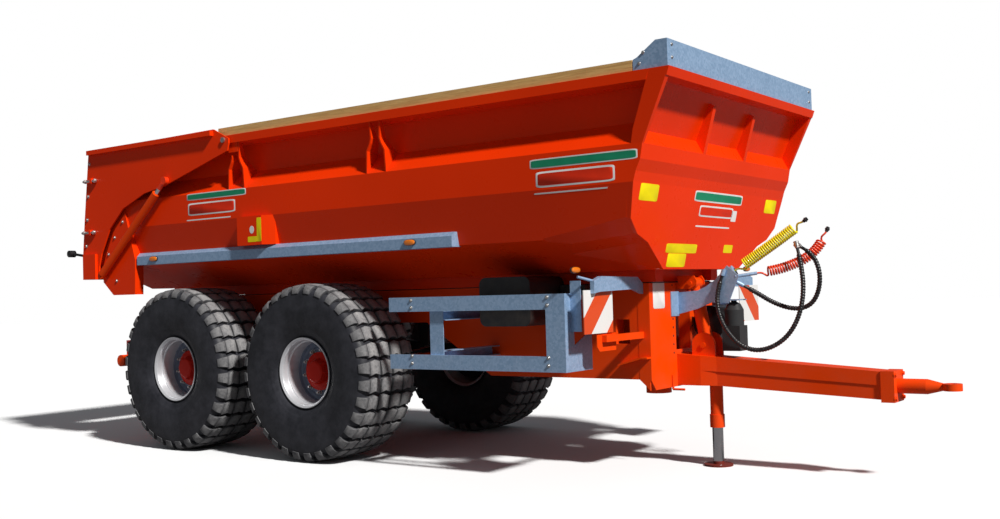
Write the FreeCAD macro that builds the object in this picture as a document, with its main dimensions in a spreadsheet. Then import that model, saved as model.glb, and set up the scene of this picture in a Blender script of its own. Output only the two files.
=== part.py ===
"""Tandem-axle tipping trailer: deep steel tub on a sprung drawbar chassis.

Frame: +X forward to the towing eye, +Y to the left, +Z up, millimetres.
The origin is on the ground, on the centre plane, halfway between the eye's tip
and the rearmost lamp.
"""
import FreeCAD
import Part
import Sketcher
import math
import os
import re

Vector = FreeCAD.Vector
doc = FreeCAD.newDocument("tipping_trailer")

# ---------------------------------------------------------------- sizes
SIZES = {
    # wheels and axles
    "axle_front_x": -670,
    "axle_gap": 1570,
    "track_half": 990,
    "wheel_radius": 687.5,
    "tyre_half": 300,
    "tread_half": 235,
    "shoulder_drop": 55,
    "shoulder_tuck": 14,
    "sidewall_radius": 510,
    "groove_half": 205,
    "lug_height": 24,
    "lug_length": 76,
    "shoulder_width": 80,
    "rim_flange_radius": 273,
    "rim_half": 254,
    "rim_lip": 14,
    "rim_seat_radius": 258,
    "rim_wall": 10,
    "rim_step": 12,
    "rim_mouth": 62,
    "tyre_gap": 0.4,
    "disc_out": 60,
    "disc_thickness": 18,
    "disc_bore_radius": 120,
    "hub_flange_radius": 150,
    "hub_flange": 16,
    "hub_nose_radius": 98,
    "hub_nose_out": 150,
    "hub_cap": 14,
    "drum_radius": 205,
    "drum_in": -150,
    "stub_radius": 45,
    "bearing_gap": 1,
    "axle_side": 130,
    "axle_clear": 10,
    "spring_half_length": 560,
    "spring_thickness": 66,
    "spring_rise": 90,
    "spring_width": 80,
    "hanger_length": 90,
    # chassis rails
    "rail_outer": 490,
    "rail_width": 110,
    "rail_top_z": 1300,
    "rail_bottom_z": 1040,
    "nose_bottom_z": 635,
    "drop_rear_x": -60,
    "drop_front_x": 560,
    "window_x": 1715,
    "window_z": 965,
    "window_length": 110,
    "window_height": 170,
    "hinge_x": -2950,
    "hinge_z": 1220,
    "hinge_pin_radius": 30,
    "rail_tail": 60,
    "tail_chamfer": 30,
    "cross_tube_radius": 65,
    "crossbeam_depth": 140,
    "crossbeam_width": 100,
    # front frame and drawbar
    "frame_front_x": 1930,
    "post_inner": 112,
    "post_outer": 492,
    "post_depth": 92,
    "post_wall": 12,
    "post_top_z": 1298,
    "post_bottom_z": 560,
    "bar_root_half": 108,
    "bar_flare_x": 2110,
    "bar_neck_x": 2225,
    "bar_half": 92,
    "bar_tip_x": 3358,
    "bar_root_top_z": 790,
    "bar_bottom_z": 568,
    "bar_tip_top_z": 690,
    "bar_tip_bottom_z": 510,
    "eye_flange_length": 85,
    "eye_flange_half": 100,
    "eye_z": 594,
    "eye_stub_radius": 48,
    "eye_stub_length": 177,
    "eye_tip_x": 3830,
    "eye_ring_radius": 58,
    "eye_bore_radius": 25,
    "eye_thickness": 44,
    "bar_weld_root_z": 684,
    "bar_weld_tip_z": 602,
    "bar_weld_step": 6,
    "strut_foot_x": 2120,
    "strut_foot_z": 850,
    "strut_head_x": 2030,
    "strut_head_z": 1288,
    "strut_radius": 48,
    "strut_rod_radius": 34,
    "strut_eye_radius": 42,
    "strut_dome_radius": 88,
    "strut_lug_in": 55,
    "strut_lug": 18,
    "jack_x": 2175,
    "jack_tube_radius": 46,
    "jack_collar_radius": 52,
    "jack_collar_height": 90,
    "jack_tube_bottom_z": 270,
    "jack_leg_radius": 38,
    "jack_leg_top_z": 500,
    "jack_stroke": 250,
    "jack_foot_radius": 101,
    "jack_foot_thickness": 14,
    "slide_gap": 0.4,
    "seat_gap": 0.3,
    # tub
    "tub_rear_x": -3390,
    "tub_floor_z": 1387,
    "floor_half": 600,
    "bend_half": 1130,
    "bend_z": 1600,
    "band_half": 1200,
    "band_bottom_z": 1928,
    "band_top_z": 2165,
    "panel_half": 1072,
    "ledge_top_z": 2310,
    "side_wall": 10,
    "floor_wall": 12,
    "tub_top_z": 2609,
    "top_rail_half": 1220,
    "curl_half": 878,
    "curl_z": 1561,
    "curl_bend_half": 1033,
    "curl_bend_z": 1611,
    "curl_side_half": 1152,
    "curl_side_z": 1706,
    "haunch_length": 600,
    "haunch_drop": 60,
    "haunch_spread": 25,
    "haunch_wall": 14,
    "top_rail_depth": 80,
    "rail_rise": 15,
    "runner_bottom_z": 1306,
    "lug_width": 40,
    "lug_clear": 6,
    "lug_radius": 62,
    "pin_gap": 0.4,
    # headboard
    "head_foot_x": 2102,
    "head_facet_x": 2231,
    "head_facet_z": 1932,
    "head_undercut_x": 2250,
    "head_undercut_z": 1994,
    "head_band_low_x": 2284,
    "head_band_low_z": 2066,
    "head_band_x": 2302,
    "head_band_z": 2162,
    "head_wall_x": 2251,
    "head_wall_z": 2255,
    "head_wall_top_x": 2385,
    "head_rail_x": 2512,
    "head_rail_depth": 55,
    "head_wall": 10,
    "head_flange": 45,
    "rib_width": 42,
    "rib_top_x": 2391,
    "rib_top_z": 2475,
    "rib_y": 328,
    # boards, spill plate, strips
    "board_height": 70,
    "board_thickness": 34,
    "board_inset": 14,
    "board_rear_x": -1650,
    "board_front_x": 2250,
    "spill_x": 2496,
    "spill_half": 1205,
    "spill_top_z": "=tub_top_z + 172",
    "spill_thickness": 5,
    "spill_wing_x": 2256,
    "strip_rear_x": -2770,
    "strip_front_x": 790,
    "strip_out": 1212,
    "strip_bottom_z": 1590,
    "strip_height": 105,
    "strip_bevel": 30,
    "lamp_length": 90,
    "lamp_height": 50,
    "lamp_thickness": 22,
    "lamp_front_x": 409,
    "lamp_rear_x": -2531,
    "lamp_z": 1637,
    "post_mid_x": 90,
    "post_rear_x": -1448,
    "post_fold": 56,
    "post_waist_z": 2422,
    "post_waist_y": 1134,
    "post_plate": 12,
    "cover_rear_x": -1394,
    "cover_front_x": -1106,
    "cover_out": 1250,
    "cover_bevel": 96,
    # rear plates of the tub
    "rear_plate_y": 1208,
    "rear_plate": 10,
    "ram_pin_x": -3219,
    "ram_pin_z": 1514,
    # tailgate
    "gate_pivot_x": -1541,
    "gate_pivot_z": "=tub_top_z - 39",
    "gate_pin_radius": 22,
    "gate_boss_radius": 60,
    "gate_inner": "=top_rail_half + 12",
    "cheek": 14,
    "cheek_rear_top_x": -3421,
    "cheek_rear_bottom_x": -3530,
    "cheek_top_z": "=tub_top_z + 57",
    "cheek_lip": 36,
    "gate_foot_top_z": 1712,
    "gate_foot_out": 24,
    "gate_bottom_z": 1483,
    "gate_panel": 60,
    "gate_gap": 8,
    "gate_eye_x": -2286,
    "gate_eye_z": 2296,
    "barrel_radius": 34,
    "ram_rod_radius": 20,
    "barrel_end_x": -2400,
    "barrel_end_z": 2185,
    "eye_lug_radius": 34,
    "eye_lug_width": 36,
    "ram_stud_radius": 18,
    # tipping ram
    "lift_x": 1720,
    "lift_pin_z": 1346,
    "lift_eye_radius": 32,
    "lift_trunnion_z": 700,
    "lift_bottom_z": 500,
    "lift_barrel_radius": 92,
    "lift_barrel_top_z": 1275,
    "lift_step": 13,
    "lift_wall": 12,
    "trunnion_radius": 34,
    # guards and fittings
    "guard_out": 1212,
    "guard_thickness": 28,
    "guard_rear_x": 193,
    "guard_plate_x": 1555,
    "guard_front_x": 1698,
    "guard_bottom_z": 734,
    "guard_top_z": 1245,
    "guard_bar": 102,
    "guard_arm_x": 610,
    "guard_return_in": 886,
    "sheet_thickness": 6,
    "toolbox_rear_x": 849,
    "toolbox_front_x": 1283,
    "toolbox_in": 560,
    "toolbox_out": 990,
    "toolbox_bottom_z": 1025,
    "toolbox_top_z": 1368,
    "toolbox_round": 55,
    "side_box_rear_x": 1302,
    "side_box_front_x": 1510,
    "side_box_height": 72,
    "side_box_out": 640,
    "plate_width": 360,
    "plate_height": 282,
    "plate_top_z": 1262,
    "plate_x": 1850,
    "plate_left_x": 1985,
    "plate_arm": 30,
    "lamp_pod_x": 1790,
    "lamp_pod_y": 1215,
    "lamp_pod_z": 1393,
    "lamp_pod_radius": 38,
    "chock_x": 1838,
    "chock_in": 810,
    "chock_out": 1050,
    "chock_bottom_z": 860,
    "bumper_x": -3200,
    "bumper_z": 735,
    "bumper_radius": 52,
    "bumper_half": 1100,
    "tank_x": 2070,
    "tank_z": 1000,
    "tank_radius": 125,
    "tank_in": 135,
    "tank_out": 460,
    "dome_x": 2330,
    "dome_z": 1075,
    "dome_radius": 66,
    "bracket_x": 2330,
    "bracket_y": -60,
    "bracket_sheet": 8,
    "bracket_bottom_z": 1160,
    "hose": 22,
    "yellow_coil": 84,
    "red_coil": 76,
    "rear_lamp_x": -3830,
}

sheet = doc.addObject("Spreadsheet::Sheet", "dims")
for row, (alias, number) in enumerate(SIZES.items(), 1):
    sheet.set(f"A{row}", alias)
    sheet.set(f"B{row}", str(number))
    sheet.setAlias(f"B{row}", alias)
doc.recompute()


# ---------------------------------------------------------------- helpers
def bound(text):
    """An expression in which each alias is read from the sheet."""
    def from_sheet(word):
        return f"dims.{word[0]}" if word[0] in SIZES else word[0]
    return re.sub(r"[a-z][a-z_]*", from_sheet, str(text))


def value(text):
    """The number that an expression gives now."""
    return float(sheet.evalExpression(bound(text)))


def point(x, y, z):
    return Vector(value(x), value(y), value(z))


def bind(thing, prop, text):
    thing.setExpression(prop, bound(text))


def box(name, low, high):
    """A block between its lowest and highest corners."""
    block = doc.addObject("Part::Box", name)
    for side, axis, start, end in zip(("Length", "Width", "Height"), "xyz", low, high):
        bind(block, side, f"({end}) - ({start})")
        bind(block, f"Placement.Base.{axis}", start)
    return block


TURNS = {
    "x": FreeCAD.Rotation(Vector(0, 1, 0), 90),
    "y": FreeCAD.Rotation(Vector(1, 0, 0), -90),
    "z": FreeCAD.Rotation(),
}


def rod(name, axis, start, radius, length):
    """A round bar from its start along one axis."""
    bar = doc.addObject("Part::Cylinder", name)
    bar.Placement = FreeCAD.Placement(Vector(), TURNS[axis])
    bind(bar, "Radius", radius)
    bind(bar, "Height", length)
    for direction, place in zip("xyz", start):
        bind(bar, f"Placement.Base.{direction}", place)
    return bar


def strut(name, start, end, radius):
    """A round bar between two points."""
    bar = doc.addObject("Part::Cylinder", name)
    run = end - start
    bind(bar, "Radius", radius)
    bar.Height = run.Length
    bar.Placement = FreeCAD.Placement(start, FreeCAD.Rotation(Vector(0, 0, 1), run))
    return bar


PLANES = {"xy": ("XY_Plane", "z"), "xz": ("XZ_Plane", "y"), "yz": ("YZ_Plane", "x")}


def outline(body, plane, corners):
    """A closed outline; a corner with a radius and a side starts an arc."""
    sketch = body.newObject("Sketcher::SketchObject", body.Name + "_outline")
    role = PLANES[plane][0]
    support = next(f for f in body.Origin.OriginFeatures if f.Role == role)
    sketch.AttachmentSupport = [(support, "")]
    sketch.MapMode = "FlatFace"
    spots = [Vector(value(c[0]), value(c[1]), 0) for c in corners]
    ends = []
    for corner, start, end in zip(corners, spots, spots[1:] + spots[:1]):
        if len(corner) == 2:
            ends.append((sketch.addGeometry(Part.LineSegment(start, end)), 1, 2))
            continue
        radius = value(corner[2])
        left = corner[3] == "left"
        chord = end - start
        sideways = Vector(-chord.y, chord.x, 0).normalize() * (1 if left else -1)
        rise = math.sqrt(max(radius ** 2 - (chord.Length / 2) ** 2, 0))
        centre = (start + end) * 0.5 + sideways * rise
        first, last = (start, end) if left else (end, start)
        angles = [math.atan2(p.y - centre.y, p.x - centre.x) for p in (first, last)]
        if angles[1] < angles[0]:
            angles[1] += 2 * math.pi
        circle = Part.Circle(centre, Vector(0, 0, 1), radius)
        arc = sketch.addGeometry(Part.ArcOfCircle(circle, *angles))
        ends.append((arc, 1, 2) if left else (arc, 2, 1))
        held = sketch.addConstraint(Sketcher.Constraint("Radius", arc, radius))
        bind(sketch, f"Constraints[{held}]", corner[2])
    for (edge, start, end), following in zip(ends, ends[1:] + ends[:1]):
        sketch.addConstraint(
            Sketcher.Constraint("Coincident", edge, end, following[0], following[1]))
    for corner, spot, (edge, start, end) in zip(corners, spots, ends):
        for kind, text, number in (("DistanceX", corner[0], spot.x), ("DistanceY", corner[1], spot.y)):
            held = sketch.addConstraint(Sketcher.Constraint(kind, -1, 1, edge, start, number))
            bind(sketch, f"Constraints[{held}]", text)
    return sketch


def rounded(low, high, radius):
    """The corners of an upright rectangle whose own corners are arcs."""
    (left, bottom), (right, top) = low, high
    return [
        (f"{left} + {radius}", bottom),
        (f"{right} - {radius}", bottom, radius, "left"),
        (right, f"{bottom} + {radius}"),
        (right, f"{top} - {radius}", radius, "left"),
        (f"{right} - {radius}", top),
        (f"{left} + {radius}", top, radius, "left"),
        (left, f"{top} - {radius}"),
        (left, f"{bottom} + {radius}", radius, "left"),
    ]


def plate(name, plane, corners, start, end, lean=None):
    """An outline padded from one level to another across its plane, or along a lean."""
    body = doc.addObject("PartDesign::Body", name)
    pad = body.newObject("PartDesign::Pad", name + "_pad")
    pad.Profile = outline(body, plane, corners)
    pad.Reversed = plane == "xz"
    bind(pad, "Length", f"({end}) - ({start})")
    if lean:
        pad.UseCustomVector = True
        pad.AlongSketchNormal = True
        for direction, share in zip("xyz", lean):
            bind(pad, f"Direction.{direction}", share)
    bind(body, f"Placement.Base.{PLANES[plane][1]}", start)
    body.Tip = pad
    return body


def turned(name, axis, corners, centre):
    """An outline of (radius, place along the axis) revolved about the axis."""
    body = doc.addObject("PartDesign::Body", name)
    if axis == "x":
        corners = [(c[1], c[0]) + tuple(c[2:]) for c in corners]
    sketch = outline(body, "xz" if axis == "z" else "xy", corners)
    lathe = body.newObject("PartDesign::Revolution", name + "_turn")
    lathe.Profile = sketch
    lathe.ReferenceAxis = (sketch, ["H_Axis" if axis == "x" else "V_Axis"])
    lathe.Angle = 360
    for direction, place in zip("xyz", centre):
        bind(body, f"Placement.Base.{direction}", place)
    body.Tip = lathe
    return body


def joined(name, *pieces):
    whole = doc.addObject("Part::MultiFuse", name)
    whole.Shapes = list(pieces)
    whole.Refine = True
    return whole


def grouped(name, *pieces):
    """Like solids that don't touch and share one node."""
    group = doc.addObject("Part::Compound", name)
    group.Links = list(pieces)
    return group


def cut(name, base, *tools):
    remains = doc.addObject("Part::Cut", name)
    remains.Base = base
    remains.Tool = tools[0] if len(tools) == 1 else joined(name + "_tools", *tools)
    return remains


def common(name, *pieces):
    shared = doc.addObject("Part::MultiCommon", name)
    shared.Shapes = list(pieces)
    return shared


def mirrored(name, piece):
    """The same piece on the other side of the centre plane."""
    twin = doc.addObject("Part::Mirroring", name)
    twin.Source = piece
    twin.Normal = Vector(0, 1, 0)
    return twin


def both_sides(name, piece, combine=grouped):
    return combine(name, piece, mirrored(name + "_twin", piece))


def across(half):
    """A half outline in the YZ plane, closed by its mirror image."""
    return half + [(f"-({y})", z) for y, z in reversed(half)]


nodes = {}


def keep(piece, label=None):
    """Mark a piece as a sub-part that is written to its own file."""
    piece.Label = label or piece.Name
    nodes[piece.Label] = piece
    return piece


# ---------------------------------------------------------------- wheels
FACETS = 32


def facet_bar(name, start, radius, length):
    """A many-sided bar along +Y; a corner of each lies in +X."""
    bar = doc.addObject("Part::Prism", name)
    bar.Polygon = FACETS
    bar.Placement = FreeCAD.Placement(Vector(), TURNS["y"])
    bind(bar, "Circumradius", radius)
    bind(bar, "Height", length)
    bind(bar, "Placement.Base.y", start)
    return bar


def turned_copies(name, piece, first_angle):
    """The piece repeated about the Y axis, once for each facet."""
    copies = []
    for number in range(FACETS):
        copy = grouped(f"{name}_{number}", piece)
        angle = first_angle + 360 / FACETS * number
        copy.Placement = FreeCAD.Placement(Vector(), FreeCAD.Rotation(Vector(0, 1, 0), angle))
        copies.append(copy)
    return copies


def tyre():
    """Carcass with a bulged sidewall and one cross bar of tread for each facet."""
    half = [
        ("rim_seat_radius + tyre_gap", "rim_half - rim_lip - tyre_gap"),
        ("rim_flange_radius + tyre_gap", "rim_half - rim_lip - tyre_gap"),
        ("sidewall_radius", "tyre_half - tyre_gap"),
        ("wheel_radius - shoulder_drop", "tyre_half - shoulder_tuck"),
        ("wheel_radius - lug_height", "groove_half"),
    ]
    flat = f"cos(180 deg / {FACETS})"
    profile = [(f"({radius}) * {flat}", f"-({along})") for radius, along in half]
    profile += [(radius, along[2:-1]) for radius, along in profile[::-1]]
    slab = plate("tyre_slab", "xy", profile, "-shoulder_width", "shoulder_width")
    edge = f"wheel_radius * tan(180 deg / {FACETS})"
    wedge = plate("tyre_wedge", "xz", [(0, 0), ("wheel_radius", f"-{edge}"), ("wheel_radius", edge)],
                  "-tyre_half", "tyre_half")
    sector = common("tyre_sector", slab, wedge)
    lug = plate("tyre_lug", "xy", [
        ("wheel_radius - 2 * shoulder_drop", "-(tyre_half - shoulder_tuck)"),
        ("wheel_radius", "-tread_half"),
        ("wheel_radius", "tread_half"),
        ("wheel_radius - 2 * shoulder_drop", "tyre_half - shoulder_tuck"),
    ], "-lug_length / 2", "lug_length / 2")
    sectors = turned_copies("tyre_sector", sector, 180 / FACETS)
    return joined("tyre", *sectors, *turned_copies("tyre_lug", lug, 0))


def rim():
    """Drop-centre rim, deep on its outer side, with the disc that bolts to the hub."""
    face = "rim_half - rim_lip"
    seat = facet_bar("rim_seat", "-rim_half", "rim_seat_radius", "2 * rim_half")
    flanges = [facet_bar(f"rim_flange_{number}", start, "rim_flange_radius", "rim_lip")
               for number, start in enumerate((face, "-rim_half"))]
    well = facet_bar("rim_well", "-rim_half - 1", "rim_seat_radius - rim_wall - rim_step", "2 * rim_half + 2")
    mouths = [facet_bar(f"rim_mouth_{number}", start, "rim_seat_radius - rim_wall", "rim_mouth + 1")
              for number, start in enumerate(("rim_half - rim_mouth", "-rim_half - 1"))]
    barrel = cut("rim_barrel", joined("rim_blank", seat, *flanges), well, *mouths)
    disc = facet_bar("rim_disc", "disc_out - disc_thickness", "rim_seat_radius - rim_wall / 2", "disc_thickness")
    bore = facet_bar("rim_disc_bore", "disc_out - disc_thickness - 1", "disc_bore_radius", "disc_thickness + 2")
    return joined("rim", barrel, cut("rim_disc_open", disc, bore))


def hub():
    """Brake drum, wheel flange and bearing nose round the axle's stub."""
    inner = "disc_out - disc_thickness"
    whole = joined(
        "hub_whole",
        facet_bar("hub_drum", "drum_in", "drum_radius", f"{inner} - (drum_in)"),
        facet_bar("hub_spigot", inner, "disc_bore_radius - tyre_gap", "disc_thickness"),
        facet_bar("hub_flange", "disc_out", "hub_flange_radius", "hub_flange"),
        facet_bar("hub_nose", "disc_out", "hub_nose_radius", "hub_nose_out - disc_out - hub_cap"),
        facet_bar("hub_cap", "disc_out", "hub_nose_radius - hub_cap", "hub_nose_out - disc_out"))
    bore = rod("hub_bore", "y", (0, "drum_in - 1", 0), "stub_radius + bearing_gap", "disc_out - (drum_in) + 1")
    return cut("hub", whole, bore)


def placed(name, piece, x, y, z):
    """A copy of a piece set down at a place."""
    copy = grouped(name, piece)
    for direction, place in zip("xyz", (x, y, z)):
        bind(copy, f"Placement.Base.{direction}", place)
    return copy


WHEEL_PIECES = {"tyre": tyre(), "rim": rim(), "hub": hub()}
WHEEL_TWINS = {kind: mirrored(f"{kind}_mirrored", piece) for kind, piece in WHEEL_PIECES.items()}


def wheel(name, axle_x, side):
    """Tyre, rim and hub on one side; the outer face looks away from the centre."""
    pieces = WHEEL_PIECES if side > 0 else WHEEL_TWINS
    for kind, piece in pieces.items():
        keep(placed(f"{kind}_{name}", piece, axle_x, f"{side} * track_half", "wheel_radius"))


def axle(name, axle_x):
    """A square beam with a turned stub for each hub."""
    end = "track_half + drum_in - axle_clear"
    beam = box(name + "_beam",
               (f"{axle_x} - axle_side / 2", f"-({end})", "wheel_radius - axle_side / 2"),
               (f"{axle_x} + axle_side / 2", end, "wheel_radius + axle_side / 2"))
    tip = "track_half + disc_out - bearing_gap"
    stubs = rod(name + "_stubs", "y", (axle_x, f"-({tip})", "wheel_radius"), "stub_radius", f"2 * ({tip})")
    keep(joined(name, beam, stubs))


REAR_AXLE = "axle_front_x - axle_gap"
for place, where in (("front", "axle_front_x"), ("rear", REAR_AXLE)):
    axle(f"axle_{place}", where)
    wheel(f"{place}_right", where, -1)
    wheel(f"{place}_left", where, 1)


def spring(name, axle_x):
    """A leaf pack over the axle, bowed up to its hangers under the rail."""
    seat = "wheel_radius + axle_side / 2"
    low = "rail_outer - (rail_width + spring_width) / 2"
    high = "rail_outer - (rail_width - spring_width) / 2"
    pack = plate(name + "_pack", "xz", [
        (f"{axle_x} - 90", seat),
        (f"{axle_x} + 90", seat),
        (f"{axle_x} + spring_half_length", f"{seat} + spring_rise"),
        (f"{axle_x} + spring_half_length", f"{seat} + spring_rise + spring_thickness / 2"),
        (f"{axle_x} + 90", f"{seat} + spring_thickness"),
        (f"{axle_x} - 90", f"{seat} + spring_thickness"),
        (f"{axle_x} - spring_half_length", f"{seat} + spring_rise + spring_thickness / 2"),
        (f"{axle_x} - spring_half_length", f"{seat} + spring_rise"),
    ], low, high)
    hangers = [
        box(f"{name}_hanger_{end}",
            (f"{axle_x} {sign} spring_half_length - hanger_length / 2", low,
             f"{seat} + spring_rise + spring_thickness / 4"),
            (f"{axle_x} {sign} spring_half_length + hanger_length / 2", high, "rail_bottom_z"))
        for end, sign in (("ahead", "+"), ("behind", "-"))]
    return joined(name, pack, *hangers)


spring_pair = [spring(f"spring_{place}", where)
               for place, where in (("front", "axle_front_x"), ("rear", REAR_AXLE))]
springs_one_side = joined("springs_one_side", *spring_pair)
keep(both_sides("springs", springs_one_side))


# ---------------------------------------------------------------- chassis
def chassis_frame():
    rail = plate("rail", "xz", [
        ("hinge_x", "rail_top_z"),
        ("hinge_x - rail_tail + tail_chamfer / 2", "rail_top_z - tail_chamfer"),
        ("hinge_x - rail_tail", "hinge_z"),
        ("hinge_x - rail_tail", "rail_bottom_z"),
        ("drop_rear_x", "rail_bottom_z"),
        ("drop_front_x", "nose_bottom_z"),
        ("frame_front_x - post_depth", "nose_bottom_z"),
        ("frame_front_x - post_depth", "rail_top_z"),
    ], "rail_outer - rail_width", "rail_outer")
    window = box("rail_window",
                 ("window_x - window_length / 2", "rail_outer - rail_width - 1",
                  "window_z - window_height / 2"),
                 ("window_x + window_length / 2", "rail_outer + 1", "window_z + window_height / 2"))
    rails = both_sides("rails", cut("rail_open", rail, window))
    inner = "rail_outer - rail_width"
    shaft = rod("hinge_shaft", "y", ("hinge_x", f"-({inner})", "hinge_z"), "hinge_pin_radius", f"2 * ({inner})")
    tubes = [
        rod(f"cross_tube_{n}", "y", (x, f"-({inner})", "rail_bottom_z + 90"), "cross_tube_radius", f"2 * ({inner})")
        for n, x in enumerate(("hinge_x + 330", "axle_front_x - axle_gap / 2", "drop_rear_x"))]
    beam = box("crossbeam",
               ("window_x - 430", f"-({inner})", "nose_bottom_z + 20"),
               ("window_x - 430 + crossbeam_width", inner, "nose_bottom_z + 20 + crossbeam_depth"))
    cradle = [
        box(f"cradle_{n}",
            (f"lift_x - 80", y0, "lift_trunnion_z - 70"), ("lift_x + 80", y1, "lift_trunnion_z + 70"))
        for n, (y0, y1) in enumerate(((f"-({inner})", "-(lift_barrel_radius + 60)"),
                                      ("lift_barrel_radius + 60", inner)))]
    holes = rod("cradle_bores", "y", ("lift_x", f"-({inner}) + 20", "lift_trunnion_z"),
                "trunnion_radius + pin_gap", f"2 * ({inner}) - 40")
    cradle_open = cut("cradle", joined("cradle_blocks", *cradle), holes)
    keep(joined("chassis_frame", rails, shaft, *tubes, beam, cradle_open))


chassis_frame()


def front_frame():
    """Two folded posts, the crossbar and plate that join them, and what is welded to them."""
    back = "frame_front_x - post_depth"
    face = "frame_front_x - post_wall"
    front = plate("post_face", "yz", [
        ("post_inner", "post_bottom_z"),
        ("post_outer - 60", "post_bottom_z"),
        ("post_outer", "post_bottom_z + 70"),
        ("post_outer", "post_top_z"),
        ("post_inner", "post_top_z"),
    ], face, "frame_front_x")
    web = plate("post_web", "xz", [
        (back, "post_bottom_z + 74"),
        (f"{back} + 50", "post_bottom_z + 30"),
        (face, "post_bottom_z"),
        (face, "post_top_z"),
        (back, "post_top_z"),
    ], "post_outer - post_wall", "post_outer")
    inner = box("post_inner_web", (back, "post_inner", "post_bottom_z"),
                (face, "post_inner + post_wall", "post_top_z"))
    ledge = plate("post_ledge", "xz", [
        (f"{back} - 138", "nose_bottom_z + 107"),
        (f"{back} + 42", "nose_bottom_z + 157"),
        ("frame_front_x", "nose_bottom_z + 157"),
        ("frame_front_x", "nose_bottom_z + 145"),
        (f"{back} + 42", "nose_bottom_z + 145"),
        (f"{back} - 138", "nose_bottom_z + 95"),
    ], "post_outer", "post_outer + 60")
    posts = both_sides("posts", joined("post", front, web, inner, ledge))
    bar = box("post_crossbar", (back, "-post_inner", "post_top_z - 110"), (face, "post_inner", "post_top_z"))
    lower = box("post_lower_plate", (face, "-post_inner", "post_bottom_z"),
                ("frame_front_x", "post_inner", "bar_root_top_z + 30"))
    clevis = both_sides("strut_clevis", plate("strut_clevis_plate", "xz", [
        (f"{face} - 10", "strut_head_z - 38"),
        ("strut_head_x", "strut_head_z - 38"),
        ("strut_head_x + 50", "strut_head_z - 10"),
        ("strut_head_x + 50", "strut_head_z + 22"),
        ("strut_head_x + 30", "strut_head_z + 54"),
        (f"{face} - 10", "strut_head_z + 54"),
    ], "strut_lug_in", "strut_lug_in + post_wall"))
    pin = rod("strut_head_pin", "y", ("strut_head_x", "-strut_lug_in - 22", "strut_head_z"), "16",
              "2 * strut_lug_in + 44")
    trim = box("clevis_trim", (back, "-strut_lug_in - 20", "post_top_z"),
               ("frame_front_x + 1", "strut_lug_in + 20", "post_top_z + 60"))
    rest = box("tank_rest", ("frame_front_x", "tank_out - 180", "tank_z - 60"),
               ("tank_x - 60", "tank_out - 90", "tank_z + 60"))
    round_tank = rod("tank_clearance", "y", ("tank_x", "tank_in", "tank_z"), "tank_radius + seat_gap",
                     "tank_out - tank_in")
    chock_plate = plate("chock_plate", "yz", [
        ("-chock_out", "chock_bottom_z + 30"),
        ("-chock_out + 30", "chock_bottom_z"),
        ("-chock_in", "chock_bottom_z"),
        ("-chock_in", "plate_top_z - plate_height - 5"),
        ("-chock_out", "plate_top_z - plate_height - 5"),
    ], "chock_x", "chock_x + sheet_thickness")
    chock_bar = box("chock_bar", ("chock_x + sheet_thickness", "-chock_out + 60", "chock_bottom_z + 60"),
                    ("chock_x + 42", "-post_outer", "chock_bottom_z + 105"))
    prop = [
        rod("prop_down", "z", ("frame_front_x + 6", "-post_inner - 80", "post_bottom_z - 14"), "8", "100"),
        rod("prop_foot", "x", ("frame_front_x + 6", "-post_inner - 80", "post_bottom_z - 14"), "8", "90"),
    ]
    whole = joined("front_frame_whole", posts, bar, lower, clevis, pin, rest, chock_plate, chock_bar, *prop)
    keep(cut("front_frame", whole, trim, round_tank))


front_frame()


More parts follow.
